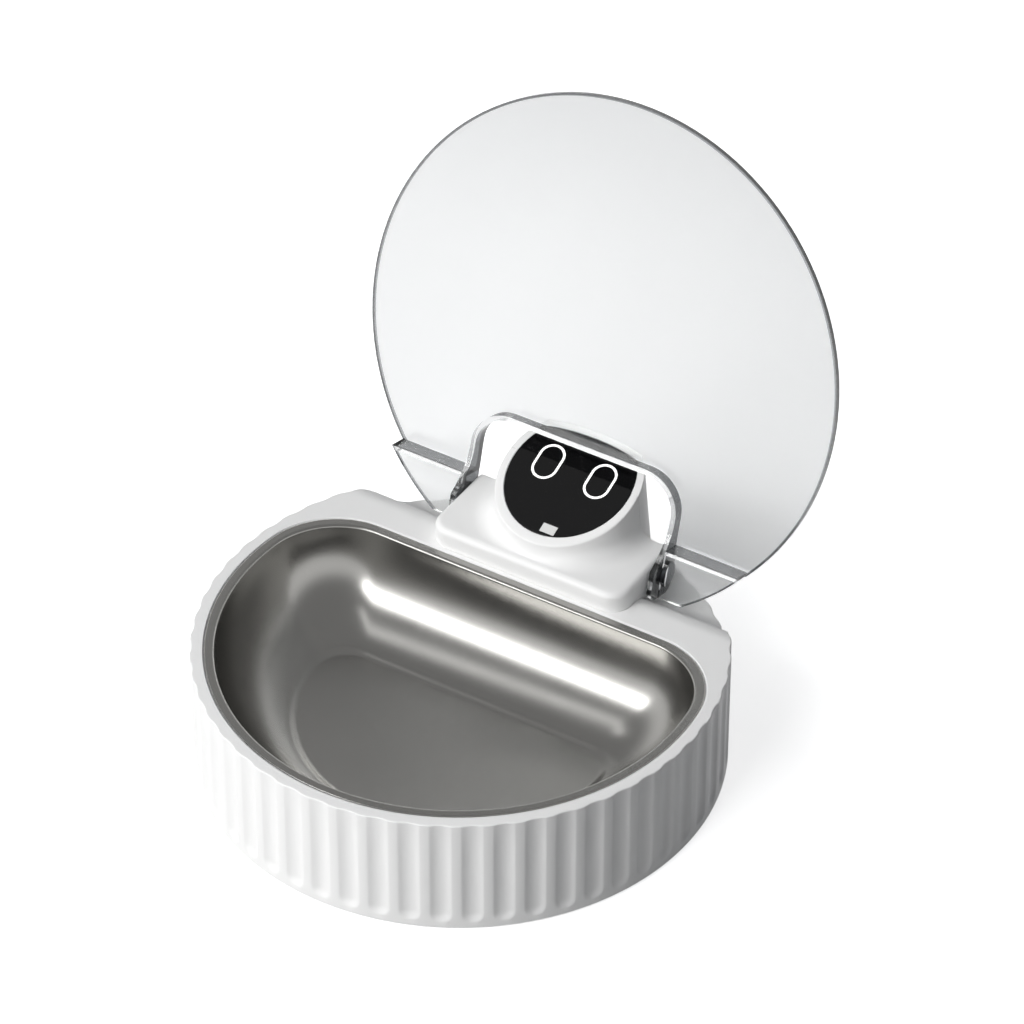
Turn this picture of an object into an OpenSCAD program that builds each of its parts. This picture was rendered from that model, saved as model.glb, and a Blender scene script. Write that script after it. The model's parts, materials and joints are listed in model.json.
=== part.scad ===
// Microchip pet feeder with a motor-driven clear lid.
// Frame: +X is the feeder's right, -Y its front where the pet eats, +Z up.
// The origin is the centre of the round base on the surface it stands on.
// The lid is drawn closed and then turned back on its hinge to the open place.

/* [Base] */
// Outer diameter of the base
base_d = 240; // [216:1:264]
// Height of the deck above the surface
deck_h = 61; // [60:1:72]
// Wall thickness of the moulded shells
wall_t = 2.4; // [2:0.1:2.8]
// How far the feet hold the shell off the surface
foot_gap = 1.2; // [0.8:0.1:2]
// Diameter of a foot
foot_d = 16; // [12:1:20]
// Radius of the circle that the feet stand on
foot_circle_r = 92; // [80:1:96]
// Distance from one flute to the next round the wall
flute_pitch = 13.7; // [13.4:0.1:16]
// Width of one flute
flute_w = 9.6; // [7:0.2:9.8]
// Depth of one flute
flute_depth = 1.2; // [1:0.1:1.6]
// Turn of the flutes about the base
flute_turn = 2.1; // [0:0.1:3]
// Plain band below the flutes
flute_foot = 4; // [3:0.5:8]
// How far the rear shelf lies below the deck
shelf_drop = 14; // [13:0.5:16]
// Distance from the plinth's front to where the deck starts to fall
shelf_setback = 11; // [10:0.5:12]
// Length of the slope from the deck to the shelf
shelf_run = 26; // [24:0.5:27]

/* [Bowl] */
// Width of the deck ring in front of the bowl
deck_rim = 6; // [5.5:0.5:10]
// Strip of deck between the bowl's opening and the plinth
plinth_gap = 2; // [1.5:0.5:8]
// Corner radius of the bowl at its flange
bowl_corner = 38; // [30:1:40]
// Width of the flange round the bowl
bowl_flange = 4.6; // [4.4:0.1:6]
// Depth of the bowl inside
bowl_depth = 42; // [30:1:42]
// How far the wall sweeps in on its way to the floor
bowl_sweep = 39; // [25:1:42]
// Sheet thickness of the bowl
bowl_t = 0.9; // [0.7:0.1:1]
// Gap round the bowl's flange
bowl_gap = 0.6; // [0.3:0.1:0.8]

/* [Head] */
// Width of the plinth
plinth_w = 102; // [98:1:106]
// Length of the plinth from front to rear
plinth_l = 44; // [43:0.5:45]
// Distance of the plinth's rear face in from the rear of the base
plinth_inset = 24; // [23:0.5:25]
// Height of the plinth above the deck
plinth_h = 10; // [9.5:0.5:12]
// Radius of the plinth's front corners
plinth_corner = 10; // [6:1:14]
// Rounding of the plinth's top edge
plinth_round = 3; // [1.5:0.5:4]
// Distance of the head's axis in from the rear of the base
head_inset = 27; // [26.5:0.5:28]
// Diameter of the head where it leaves the plinth
head_d = 71; // [70:0.5:72]
// Lean of the head's wall from upright
head_draft = 4.5; // [3:0.5:5]
// Fillet between the head and the plinth
head_fillet = 5; // [3:0.5:6]
// Tilt of the face from level
face_tilt = 21; // [18:1:22]
// Height of the face's middle above the deck
face_h = 31; // [30:0.5:34]
// Diameter of the face's window, seen from above
lens_d = 60; // [58:0.5:60]
// Thickness of the window
lens_t = 2; // [1.6:0.1:2.4]
// Distance of each eye ring from the middle
eye_x = 13.7; // [12:0.1:14]
// Distance of the eye rings behind the head's axis
eye_back = 3; // [0:0.5:4]
// Width of an eye ring
eye_w = 12.6; // [10:0.2:13]
// Length of an eye ring
eye_l = 19; // [16:0.5:20]
// Width of the line of an eye ring
eye_line = 1.1; // [0.8:0.1:1.4]

/* [Lid] */
// How far the lid's edge stays inside the base's edge
lid_inset = 0.5; // [0:0.1:2]
// Thickness of the lid
lid_t = 2.4; // [2:0.1:2.6]
// Angle that the lid stands open
lid_open = 105.7; // [100:0.1:105.7]
// Distance of the hinge in from the rear of the base
hinge_inset = 32.2; // [31.5:0.1:32.5]
// Height of the hinge above the deck
hinge_up = 2.6; // [2.4:0.1:3]
// Gap between the deck and the closed lid
lid_rise = 7.3; // [7.3:0.1:8]
// Gap between the plinth's sides and the ears
ear_gap = 0.6; // [0.5:0.1:1]
// Gap in front of the plinth inside the arch
arch_front_gap = 6.6; // [5:0.2:7]
// Corner radius of the arch opening
arch_corner = 16; // [12:1:18]
// Depth of the wall round the arch
arch_depth = 8; // [6:0.5:8.4]
// Drop from the lid down to the lugs
lug_drop = 10; // [9:0.5:10]
// How far the lugs start in front of the hinge
lug_ahead = 9.8; // [9:0.1:11]
// How far the lugs and ears reach behind the hinge
lug_behind = 11.2; // [10:0.1:11.4]
// Radius of a hinge pin
pin_r = 2.45; // [2.2:0.05:2.6]
// Radius of a hinge pin's head
pin_head_r = 5.8; // [5.4:0.1:6.4]

/* [Drive] */
// Size of a gear tooth, as its module
gear_module = 0.8; // [0.78:0.01:0.82]
// Teeth of the gear on the lid's shaft
output_teeth = 32; // [31:1:32]
// Teeth of the intermediate gear's large wheel
idler_teeth = 30; // [29:1:30]
// Teeth of the small wheels
pinion_teeth = 14; // [13:1:14]
// Face width of a gear
gear_w = 4; // [3.5:0.1:4.2]
// Play between two meshing teeth
backlash = 0.3; // [0.2:0.05:0.4]

/* [Hidden] */

$fn = 72;
// Overlap of two cutting solids, so that no skin is left
eps = 0.01;
// Longer than the feeder in any direction
far = 400;
// Clearance between two moulded parts that are assembled by hand
fit = 0.15;
// Radial clearance of a turning pin
run = 0.05;

// Base
base_r = base_d / 2;
flute_n = floor(2 * PI * base_r / flute_pitch);
skirt_z = foot_gap;
inner_r = base_r - flute_depth - wall_t;
cover_r = inner_r - 0.3;
cover_top = skirt_z + wall_t;
flute_r = (flute_w * flute_w / 4 + flute_depth * flute_depth) / (2 * flute_depth);
plinth_rear = base_r - plinth_inset;
plinth_front = plinth_rear - plinth_l;
shelf_front = plinth_front + shelf_setback;
slope_r = (shelf_run * shelf_run + shelf_drop * shelf_drop) / (4 * shelf_drop);
slope_sin = shelf_run / 2 / slope_r;
shelf_z = deck_h - shelf_drop;
foot_angles = [35, 145, 215, 325];
// Four pads near the edge and one in the middle, under the bowl
foot_places = concat([[0, 0, 0]],
    [for (a = foot_angles) [foot_circle_r * cos(a), foot_circle_r * sin(a), 0]]);
boss_angles = [0, 52, 128, 180, 240, 300];
boss_r = 4;
boss_circle_r = inner_r - boss_r + 0.8;
boss_top = cover_top + 12;
screw_r = 1.2;
screw_head_r = 3;
screw_head_t = 1.2;
cover_screw_l = 10;
frame_screw_l = 8;

// Bowl
open_r = base_r - deck_rim;
bowl_rear = plinth_front - plinth_gap;
ledge_w = 3.2;
flange_r = open_r - bowl_gap;
flange_rear = bowl_rear - bowl_gap;
flange_corner = bowl_corner - bowl_gap;
// Share of the corner radius that stays at the floor
floor_corner_share = 0.45;

// Head
plinth_x = plinth_w / 2;
plinth_z = deck_h + plinth_h;
head_r = head_d / 2;
head_y = base_r - head_inset;
draft_k = tan(head_draft);
face_k = tan(face_tilt);
face_z = deck_h + face_h;
head_rear_r = base_r - 2;
lens_r = lens_d / 2;
lens_rear_r = head_rear_r - wall_t - 1;
split_y = plinth_rear;
ledge_t = 1.6;
face_cover = lens_t + ledge_t;
board_drop = 5.6;
board_t = 1.2;
// Depth of the groove for an eye ring
eye_depth = 1.2;

// Lid
hinge_z = deck_h + hinge_up;
hinge_y = base_r - hinge_inset;
lid_r = base_r - lid_inset;
lid_z = deck_h + lid_rise;
lid_top = lid_z + lid_t;
ear_in = plinth_x + ear_gap;
ear_out = ear_in + lid_t;
arch_y = plinth_front - arch_front_gap;
lug_z = lid_z - lug_drop;
lug_front = hinge_y - lug_ahead;
lug_rear = hinge_y + lug_behind;
// How far the lugs stay inside the lid's edge
lug_inset = 0.4;
ear_front = shelf_front - 1;
ear_low_y = hinge_y - 3.8;
ear_low_z = hinge_z - 12.6;
ear_curve = 2.2;
// Rounding of an ear's rear end, so that it swings clear of the slope
ear_round = 5.5;
key_w = 7;
bush_r = 3.4;
bush_head_r = 4.8;
pin_head_t = 1.6;
clip_r = 4.4;

// Drive
output_r = gear_module * output_teeth / 2;
idler_r = gear_module * idler_teeth / 2;
pinion_r = gear_module * pinion_teeth / 2;
frame_x = 12.4;
frame_t = 2;
output_x = frame_x + frame_t + 2.6;
idler_x = output_x + gear_w + 1.6;
frame_far_x = idler_x + gear_w + 4;
axle_r = 1.5;
shaft_r = 1.5;
motor_w = 10;
motor_h = 12;
gearbox_l = 9;
motor_l = 15;

// Battery bay
cell_r = 7.25;
cell_l = 50.5;
bay_gap = 1;
spring_room = 4;
bay_wall = 1.6;
bay_inset = 31;
bay_x = cell_l + bay_gap / 2 + spring_room;
bay_rear = base_r - bay_inset;
bay_front = bay_rear - 4 * cell_r - 3 * bay_gap;
bay_roof = cover_top + 2 * cell_r + bay_gap;
cell_z = cover_top + cell_r + bay_gap / 2;
cell_ys = [bay_front + bay_gap + cell_r, bay_rear - bay_gap - cell_r];
plate_w = 1.4 * cell_r;
frame_z = bay_roof + bay_wall + 0.6;
post_r = 3;
post_inset = post_r + 0.6;
frame_front = bay_front - bay_wall - 2 * post_inset + 0.8;
frame_rear = bay_rear + bay_wall + 2 * post_inset + 5.2;
post_xs = [frame_x + frame_t + post_inset, frame_far_x - post_inset];
post_ys = [frame_front + post_inset, frame_rear - post_inset];

// The motor stands over the frame and below the hinge, and the idler gear meshes
// with the output gear above it and with the motor's pinion below it
reach_top = output_r + pinion_r;
reach_low = idler_r + pinion_r;
motor_y = hinge_y + 4.4;
motor_z = max(frame_z + frame_t + motor_w / 2 + 2.8, hinge_z - 0.89 * (reach_top + reach_low));
train_y = motor_y - hinge_y;
train_z = motor_z - hinge_z;
train_l = sqrt(train_y * train_y + train_z * train_z);
train_turn = atan2(train_z, train_y);
train_bend = acos((reach_top * reach_top + train_l * train_l - reach_low * reach_low)
    / (2 * reach_top * train_l));
idler_turn = train_turn - train_bend;
idler_y = hinge_y + reach_top * cos(idler_turn);
idler_z = hinge_z + reach_top * sin(idler_turn);
motor_turn = atan2(motor_z - idler_z, motor_y - idler_y);

// Rear wall fittings
usb_z = 16;
usb_w = 9;
usb_h = 3.2;
usb_l = 7.4;
button_z = deck_h + 4;
button_r = 4.5;
button_travel = 1.2;
housing_screw_xs = [7 - plinth_x, plinth_x - 7];
housing_screw_ys = [plinth_front + 7, plinth_rear - wall_t - 1.4];
switch_y = head_rear_r - wall_t - 1.4 - button_travel - 0.2;
switch_board_w = 16;
switch_board_h = 12;
switch_board_t = 1.2;
switch_l = 4.4;
switch_post_r = 1.2;
switch_post_x = switch_board_w / 2 - 1.4;
switch_post_z = switch_board_h / 2 - 2;

// Shape helpers

// Turns a drawing in the YZ plane into a solid along X from x0
module along_x(x0, length) {
    translate([x0, 0, 0])
        rotate([90, 0, 90])
            linear_extrude(length)
                children();
}

// A round rod along X
module rod_x(x0, length, y, z, r) {
    along_x(x0, length)
        translate([y, z])
            circle(r);
}

// Outline of the bowl: a round front and a straight rear with round corners
module bowl_outline(r, rear, corner) {
    cy = rear - corner;
    cx = sqrt(pow(r - corner, 2) - cy * cy);
    ray = r * 1.5;
    intersection() {
        circle(r, $fn = 180);
        polygon([[0, 0], [cx, cy] * ray / (r - corner), [ray, -ray], [-ray, -ray],
            [-cx, cy] * ray / (r - corner)]);
    }
    polygon([[0, 0], [cx, cy], [cx, rear], [-cx, rear], [-cx, cy]]);
    for (side = [-1, 1])
        translate([side * cx, cy])
            circle(corner);
}

// The same outline as a list of points, clockwise from the right-hand corner
function bowl_ring(r, rear, corner, z, front_n = 40, corner_n = 7) =
    let (cy = rear - corner,
         cx = sqrt(pow(r - corner, 2) - cy * cy),
         turn = atan2(cy, cx))
    concat(
        [for (i = [0:front_n])
            let (a = turn - i * (180 + 2 * turn) / front_n) [r * cos(a), r * sin(a), z]],
        [for (i = [1:corner_n])
            let (a = 180 - turn - i * (90 - turn) / corner_n)
            [-cx + corner * cos(a), cy + corner * sin(a), z]],
        [for (i = [0:corner_n - 1])
            let (a = 90 - i * (90 - turn) / corner_n)
            [cx + corner * cos(a), cy + corner * sin(a), z]]);

// A closed skin over rings of equal length
module loft(rings) {
    n = len(rings[0]);
    last = len(rings) - 1;
    points = [for (ring = rings) for (p = ring) p];
    sides = [for (k = [0:last - 1]) for (i = [0:n - 1])
        let (j = (i + 1) % n, a = k * n, b = a + n)
        each [[a + i, b + i, b + j], [a + i, b + j, a + j]]];
    bottom = [for (i = [0:n - 1]) i];
    top = [for (i = [n - 1:-1:0]) last * n + i];
    polyhedron(points, concat(sides, [bottom, top]), convexity = 6);
}

// Side view of the slope from the deck to the shelf, or of a skin w below it
function slope_points(w, n = 12) =
    let (turn = asin(slope_sin))
    concat(
        [for (i = [0:n])
            let (a = 90 - turn * i / n)
            [shelf_front + (slope_r - w) * cos(a), (slope_r - w) * sin(a) - slope_r]],
        [for (i = [n - 1:-1:0])
            let (a = 270 - turn * i / n)
            [shelf_front + shelf_run + (slope_r + w) * cos(a),
                slope_r - shelf_drop + (slope_r + w) * sin(a)]]);

// Everything above the deck's slope and the rear shelf, or w below them
module above_shelf(w = 0) {
    along_x(-far / 2, far)
        translate([0, deck_h])
            polygon(concat(slope_points(w),
                [[far, -shelf_drop - w], [far, far], [shelf_front, far]]));
}

// Plan of the plinth, grown by g
module plinth_outline(g = 0) {
    x = plinth_x + g;
    front = plinth_front - g;
    corner = plinth_corner + g;
    rear = plinth_rear + g;
    translate([-x, front + corner])
        square([2 * x, rear - front - corner]);
    translate([-x + corner, front])
        square([2 * (x - corner), corner + eps]);
    for (side = [-1, 1])
        translate([side * (x - corner), front + corner])
            circle(corner);
}

// The head's leaning wall, grown by g, from z0 up to z1
module head_cone(g, z0, z1) {
    translate([0, head_y, z0])
        cylinder(r1 = head_r + g - (z0 - plinth_z) * draft_k,
            r2 = head_r + g - (z1 - plinth_z) * draft_k, h = z1 - z0);
}

// Turns its children into the sloping plane of the face, w below the surface
module on_face(w = 0) {
    translate([0, head_y, face_z])
        rotate([face_tilt, 0, 0])
            translate([0, 0, -w])
                children();
}

// Everything above the face, or above a level w below it
module above_face(w = 0) {
    on_face(w)
        translate([-far / 2, -far / 2, 0])
            cube([far, far, far]);
}

// Plan of the face's window, grown by g, cut flat at the rear by the round wall
module lens_outline(g = 0) {
    intersection() {
        translate([0, head_y])
            circle(lens_r + g);
        circle(lens_rear_r + g, $fn = 180);
    }
}

// Outline of an eye ring, grown by g
module eye_outline(g = 0) {
    half = (eye_l - eye_w) / 2;
    for (end = [-half, half])
        translate([0, end])
            circle(eye_w / 2 + g, $fn = 40);
    translate([-eye_w / 2 - g, -half])
        square([eye_w + 2 * g, 2 * half]);
}

// Everything in front of the plane y
module in_front_of(y) {
    translate([-far / 2, y - far, -far / 2])
        cube(far);
}

// Outline of a spur gear with a tooth on its first axis
function spread(a) = tan(a) * 180 / PI - a;
function flank_angle(r, base, half) = half - spread(r > base ? acos(base / r) : 0);
function gear_points(teeth, m) =
    let (pitch = m * teeth / 2,
         base = pitch * cos(20),
         tip = pitch + 0.85 * m,
         root = pitch - 1.2 * m,
         half = 90 / teeth - backlash / 4 / pitch * 180 / PI + spread(20),
         low = max(base, root),
         radii = concat([root], [for (i = [0:4]) low + (tip - low) * i / 4]))
    [for (t = [0:teeth - 1]) each concat(
        [for (r = radii)
            let (a = t * 360 / teeth - flank_angle(r, base, half)) [r * cos(a), r * sin(a)]],
        [for (i = [len(radii) - 1:-1:0])
            let (r = radii[i], a = t * 360 / teeth + flank_angle(r, base, half))
            [r * cos(a), r * sin(a)]])];

// A gear along X with its first tooth turned to the angle aim
module gear(x0, width, y, z, teeth, aim) {
    along_x(x0, width)
        translate([y, z])
            rotate(aim)
                polygon(gear_points(teeth, gear_module));
}

// A screw that points up, with its head's underside at z
module screw_up(z, length, r = screw_r, head_r = screw_head_r, head_t = screw_head_t) {
    translate([0, 0, z - eps])
        cylinder(r = r, h = length + eps, $fn = 24);
    difference() {
        translate([0, 0, z - head_t])
            cylinder(r = head_r, h = head_t, $fn = 32);
        for (turn = [0, 90])
            rotate(turn)
                translate([-head_r * 0.6, -0.35, z - head_t - eps])
                    cube([head_r * 1.2, 0.7, head_t / 2]);
    }
}

// Base

// A flute is a shallow round groove with a round lower end. Its cutter reaches only just
// past the wall, so that it stays clear of the next one.
module flutes() {
    for (i = [0:flute_n - 1])
        rotate((i + 0.5) * 360 / flute_n + 90 + flute_turn)
            translate([base_r - flute_depth, 0, skirt_z + flute_foot + flute_w / 2])
                intersection() {
                    translate([flute_r, 0, 0])
                        rotate_extrude($fn = 48) {
                            square([flute_r, deck_h]);
                            intersection() {
                                circle(flute_r);
                                translate([0, -flute_r])
                                    square(flute_r);
                            }
                        }
                    translate([-1, -flute_w, -flute_r])
                        cube([flute_depth + 1.3, 2 * flute_w, far]);
                }
}

module shell_bosses() {
    for (a = boss_angles)
        rotate(a)
            translate([boss_circle_r, 0, cover_top + fit])
                cylinder(r = boss_r, h = boss_top - cover_top, $fn = 32);
}

module base_shell() {
    color("white")
        difference() {
            union() {
                difference() {
                    translate([0, 0, skirt_z])
                        cylinder(r = base_r, h = deck_h - skirt_z, $fn = 180);
                    difference() {
                        translate([0, 0, skirt_z - eps])
                            cylinder(r = inner_r, h = deck_h - wall_t - skirt_z + eps, $fn = 180);
                        above_shelf(wall_t);
                    }
                    above_shelf();
                }
                shell_bosses();
            }
            flutes();
            translate([0, 0, deck_h - bowl_t])
                linear_extrude(wall_t)
                    bowl_outline(open_r, bowl_rear, bowl_corner);
            translate([0, 0, deck_h - 2 * wall_t])
                linear_extrude(3 * wall_t)
                    bowl_outline(open_r - ledge_w, bowl_rear - ledge_w, bowl_corner - ledge_w);
            translate([0, 0, shelf_z - 2 * wall_t])
                linear_extrude(far)
                    shaft_well_outline();
            for (a = boss_angles)
                rotate(a)
                    translate([boss_circle_r, 0, cover_top])
                        cylinder(r = screw_r + run, h = boss_top - cover_top - 1.5, $fn = 24);
            for (x = housing_screw_xs)
                for (y = housing_screw_ys)
                    translate([x, y, 0])
                        cylinder(r = screw_r + 0.4, h = far, $fn = 24);
            usb_slot(fit);
        }
}

// Opening in the deck under the plinth and the head, for the drive and the wires
module shaft_well_outline() {
    well_front = plinth_front + 14;
    well_x = plinth_x - 15;
    translate([-well_x, well_front])
        square([2 * well_x, plinth_rear - wall_t - 5.5 - well_front]);
    intersection() {
        translate([0, head_y])
            circle(head_r - wall_t - 4);
        circle(head_rear_r - wall_t - 4, $fn = 180);
        translate([-well_x, well_front])
            square([2 * well_x, far]);
    }
}

module usb_slot(g) {
    rim_r = usb_h / 2 + g;
    translate([0, base_r - flute_depth - wall_t - 1, usb_z])
        rotate([-90, 0, 0])
            linear_extrude(far) {
                for (side = [-1, 1])
                    translate([side * (usb_w - usb_h) / 2, 0])
                        circle(rim_r, $fn = 32);
                square([usb_w - usb_h, 2 * rim_r], center = true);
            }
}

module bottom_cover() {
    color("gainsboro")
        difference() {
            union() {
                translate([0, 0, skirt_z])
                    cylinder(r = cover_r, h = wall_t, $fn = 180);
                translate([-bay_x - bay_wall, bay_front - bay_wall, skirt_z])
                    cube([2 * (bay_x + bay_wall), bay_rear - bay_front + 2 * bay_wall,
                        bay_roof + bay_wall - skirt_z]);
                for (x = post_xs)
                    for (y = post_ys)
                        translate([x, y, skirt_z])
                            cylinder(r = post_r, h = frame_z - skirt_z, $fn = 32);
                board_posts();
                translate([0, door_screw_y, skirt_z])
                    cylinder(r = 3.6, h = door_boss_h, $fn = 32);
            }
            translate([-bay_x, bay_front, skirt_z - eps])
                cube([2 * bay_x, bay_rear - bay_front, bay_roof - skirt_z + eps]);
            translate([0, 0, skirt_z - eps])
                linear_extrude(door_t + eps)
                    door_outline(bay_wall);
            for (place = foot_places)
                translate(place + [0, 0, skirt_z - eps])
                    cylinder(r = foot_d / 2 + run, h = wall_t / 2 + eps, $fn = 48);
            for (a = boss_angles)
                rotate(a)
                    translate([boss_circle_r, 0, 0]) {
                        cylinder(r = screw_r + 0.4, h = far, $fn = 24);
                        cylinder(r = screw_head_r + 0.2, h = skirt_z + screw_head_t, $fn = 32);
                    }
            for (x = post_xs)
                for (y = post_ys)
                    translate([x, y, frame_z - frame_screw_l])
                        cylinder(r = screw_r + run, h = frame_screw_l + eps, $fn = 24);
            for (x = board_post_xs)
                for (y = board_post_ys)
                    translate([x, y, board_z - 5])
                        cylinder(r = 1, h = 5 + eps, $fn = 24);
            translate([0, door_screw_y, skirt_z])
                cylinder(r = screw_r + run, h = door_boss_h - 1, $fn = 24);
        }
}

// Control board beside the drive
board_z = bay_roof + bay_wall + 3.4;
board_x = 3 - bay_x;
board_y = bay_front + 3;
board_l = 36;
board_w = 34;
board_post_xs = [board_x + 3.4, board_x + board_l - 3.4];
board_post_ys = [board_y + 3.4, board_y + 25];

module board_posts() {
    for (x = board_post_xs)
        for (y = board_post_ys)
            translate([x, y, bay_roof])
                cylinder(r = 2.4, h = board_z - bay_roof, $fn = 32);
}

module rubber_feet() {
    color("dimgray")
        for (place = foot_places)
            translate(place)
                cylinder(r = foot_d / 2, h = skirt_z + wall_t / 2, $fn = 48);
}

module cover_screws() {
    color("silver")
        for (a = boss_angles)
            rotate(a)
                translate([boss_circle_r, 0, 0])
                    screw_up(skirt_z + screw_head_t, cover_screw_l);
}

// Bowl

// A ring of the bowl's skin: inset from the flange's edge and height below the deck
function bowl_skin(inset, z) =
    bowl_ring(flange_r - inset, flange_rear - inset,
        flange_corner - (1 - floor_corner_share) * inset, deck_h + z);

module steel_bowl() {
    wall_angles = [6, 14, 24, 34, 44, 54, 64, 74, 84, 90];
    n = len(wall_angles);
    edge = 0.25;
    outside = [for (i = [n - 1:-1:0])
        let (a = wall_angles[i])
        bowl_skin(bowl_flange + bowl_sweep * (1 - cos(a)) - bowl_t * cos(a),
            -bowl_depth * sin(a) - bowl_t * sin(a))];
    flange = [
        bowl_skin(bowl_flange - bowl_t, -bowl_t),
        bowl_skin(edge, -bowl_t),
        bowl_skin(0, -bowl_t + edge),
        bowl_skin(0, -edge),
        bowl_skin(edge, 0),
        bowl_skin(bowl_flange - 2 * edge, 0)
    ];
    inside = [for (a = wall_angles)
        bowl_skin(bowl_flange + bowl_sweep * (1 - cos(a)), -bowl_depth * sin(a))];
    color("silver")
        loft(concat(outside, flange, inside));
}

// Head

module plinth_block() {
    slices = [for (i = [0:3]) let (a = i * 30) [plinth_round * (1 - cos(a)), plinth_round * sin(a)]];
    hull() {
        for (s = slices)
            translate([0, 0, plinth_z - plinth_round + s[1] - eps])
                linear_extrude(eps)
                    plinth_outline(-s[0], $fn = 32);
        translate([0, 0, shelf_z])
            linear_extrude(eps)
                plinth_outline(0, $fn = 32);
    }
}

module head_foot_fillet() {
    r = head_r + head_fillet;
    translate([0, head_y, plinth_z])
        rotate_extrude($fn = 96)
            difference() {
                translate([head_r - 2, 0])
                    square([head_fillet + 2, head_fillet]);
                translate([r, head_fillet])
                    circle(head_fillet, $fn = 48);
            }
}

module head_housing() {
    color("whitesmoke")
        difference() {
            union() {
                difference() {
                    union() {
                        plinth_block();
                        intersection() {
                            union() {
                                head_cone(0, plinth_z - 1, face_z + 20);
                                head_foot_fillet();
                            }
                            translate([0, 0, plinth_z - 1])
                                linear_extrude(far)
                                    plinth_outline();
                        }
                    }
                    translate([0, 0, shelf_z - 1])
                        linear_extrude(plinth_z - wall_t - shelf_z + 1)
                            plinth_outline(-wall_t);
                    head_hollow();
                }
                housing_bosses();
                coil_ribs();
            }
            above_face();
            lens_seat();
            difference() {
                translate([-far / 2, 0, 0])
                    cube([far, far, deck_h + fit]);
                translate([0, 0, fit])
                    above_shelf();
            }
            for (side = [-1, 1])
                rod_x(side * plinth_x - 4, 8, hinge_y, hinge_z, bush_r + run);
            for (x = housing_screw_xs)
                for (y = housing_screw_ys)
                    translate([x, y, shelf_z])
                        cylinder(r = screw_r + run, h = plinth_h + shelf_drop - wall_t - 2, $fn = 24);
            translate([-far / 2, split_y, 0])
                cube(far);
        }
}

// The head's hollow stops below the face and leaves the ledge that the window rests on
module head_hollow() {
    difference() {
        intersection() {
            head_cone(-wall_t, shelf_z - 1, face_z + 20);
            cylinder(r = head_rear_r - wall_t, h = far, $fn = 180);
        }
        difference() {
            above_face(face_cover);
            linear_extrude(far)
                lens_outline(-2.4);
        }
    }
}

// Ribs inside the head that the coil's spool rests on
module coil_ribs() {
    rib_in = coil_r - 0.5;
    difference() {
        intersection() {
            head_cone(-wall_t / 2, plinth_z - wall_t, face_z + 20);
            for (side = [0, 1])
                mirror([side, 0, 0])
                    translate([rib_in, head_y - 9, plinth_z - wall_t])
                        cube([head_r, wall_t, far]);
        }
        above_face(coil_drop + coil_h + coil_flange_t);
    }
}

module lens_seat() {
    intersection() {
        above_face(lens_t);
        linear_extrude(far)
            lens_outline(fit);
    }
}

// Screw bosses that stand on the deck in front and on the shelf behind
module housing_bosses() {
    tops = [plinth_z - 1, hinge_z - clip_r - 0.5];
    bottoms = [deck_h, shelf_z];
    for (x = housing_screw_xs)
        for (i = [0, 1])
            translate([x, housing_screw_ys[i], bottoms[i]])
                cylinder(r = 2.9, h = tops[i] - bottoms[i], $fn = 32);
}

module head_rear_cover() {
    color("whitesmoke")
        difference() {
            union() {
                difference() {
                    intersection() {
                        head_cone(0, shelf_z + fit, face_z + 20);
                        cylinder(r = head_rear_r, h = far, $fn = 180);
                    }
                    head_hollow();
                }
                for (x = [-switch_post_x, switch_post_x])
                    for (z = [-switch_post_z, switch_post_z])
                        translate([x, switch_y - switch_l, button_z + z])
                            rotate([-90, 0, 0])
                                cylinder(r = switch_post_r, h = head_rear_r - wall_t / 2
                                    - switch_y + switch_l, $fn = 24);
            }
            above_face();
            lens_seat();
            in_front_of(split_y + fit);
            translate([0, 0, button_z])
                rotate([-90, 0, 0])
                    cylinder(r = button_r + 0.25, h = far, $fn = 48);
        }
}

module housing_screws() {
    seats = [deck_h - wall_t, shelf_z - wall_t];
    color("silver")
        for (x = housing_screw_xs)
            for (i = [0, 1])
                translate([x, housing_screw_ys[i], 0])
                    screw_up(seats[i], 8);
}

module face_lens() {
    color("black")
        difference() {
            intersection() {
                linear_extrude(far)
                    lens_outline();
                difference() {
                    above_face(lens_t);
                    above_face();
                }
            }
            for (x = [-eye_x, eye_x])
                eye_ring_place(x)
                    eye_ring_solid(run);
            sensor_window_solid(run);
        }
}

module eye_ring_place(x) {
    on_face()
        translate([x, eye_back / cos(face_tilt), 0])
            children();
}

// A ring sits in a groove of the window and leaves the window in one piece
module eye_ring_solid(g) {
    depth = eye_depth;
    translate([0, 0, -depth - g])
        linear_extrude(depth + (g > 0 ? far : 0))
            difference() {
                eye_outline(g);
                eye_outline(-eye_line - g);
            }
}

module eye_ring_left() {
    color("white")
        eye_ring_place(-eye_x)
            eye_ring_solid(0);
}

module eye_ring_right() {
    color("white")
        eye_ring_place(eye_x)
            eye_ring_solid(0);
}

window_x = 4.6;
window_y = 3.6 - lens_r;
window_w = 7.4;
window_l = 4.6;

module sensor_window_solid(g) {
    intersection() {
        on_face()
            translate([window_x - window_w / 2 - g, window_y / cos(face_tilt) - window_l / 2 - g,
                -lens_t - g])
                cube([window_w + 2 * g, window_l + 2 * g, lens_t + 2 * g]);
        linear_extrude(far)
            lens_outline(g);
    }
}

module sensor_window() {
    color("white")
        sensor_window_solid(0);
}

// Middle of the coil and its board, towards the front of the face
coil_y = -6;

module sensor_board() {
    color("darkgreen")
        on_face(board_drop + board_t)
            translate([0, coil_y, 0])
                cylinder(r = coil_r + 1, h = board_t);
}

module eye_leds() {
    color("khaki")
        on_face(board_drop)
            for (x = [-eye_x, eye_x])
                for (end = [-1, 1])
                    translate([x - 1.6, eye_back + end * (eye_l - eye_w) / 2 - 1.4, fit])
                        cube([3.2, 2.8, 1.6]);
}

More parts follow.
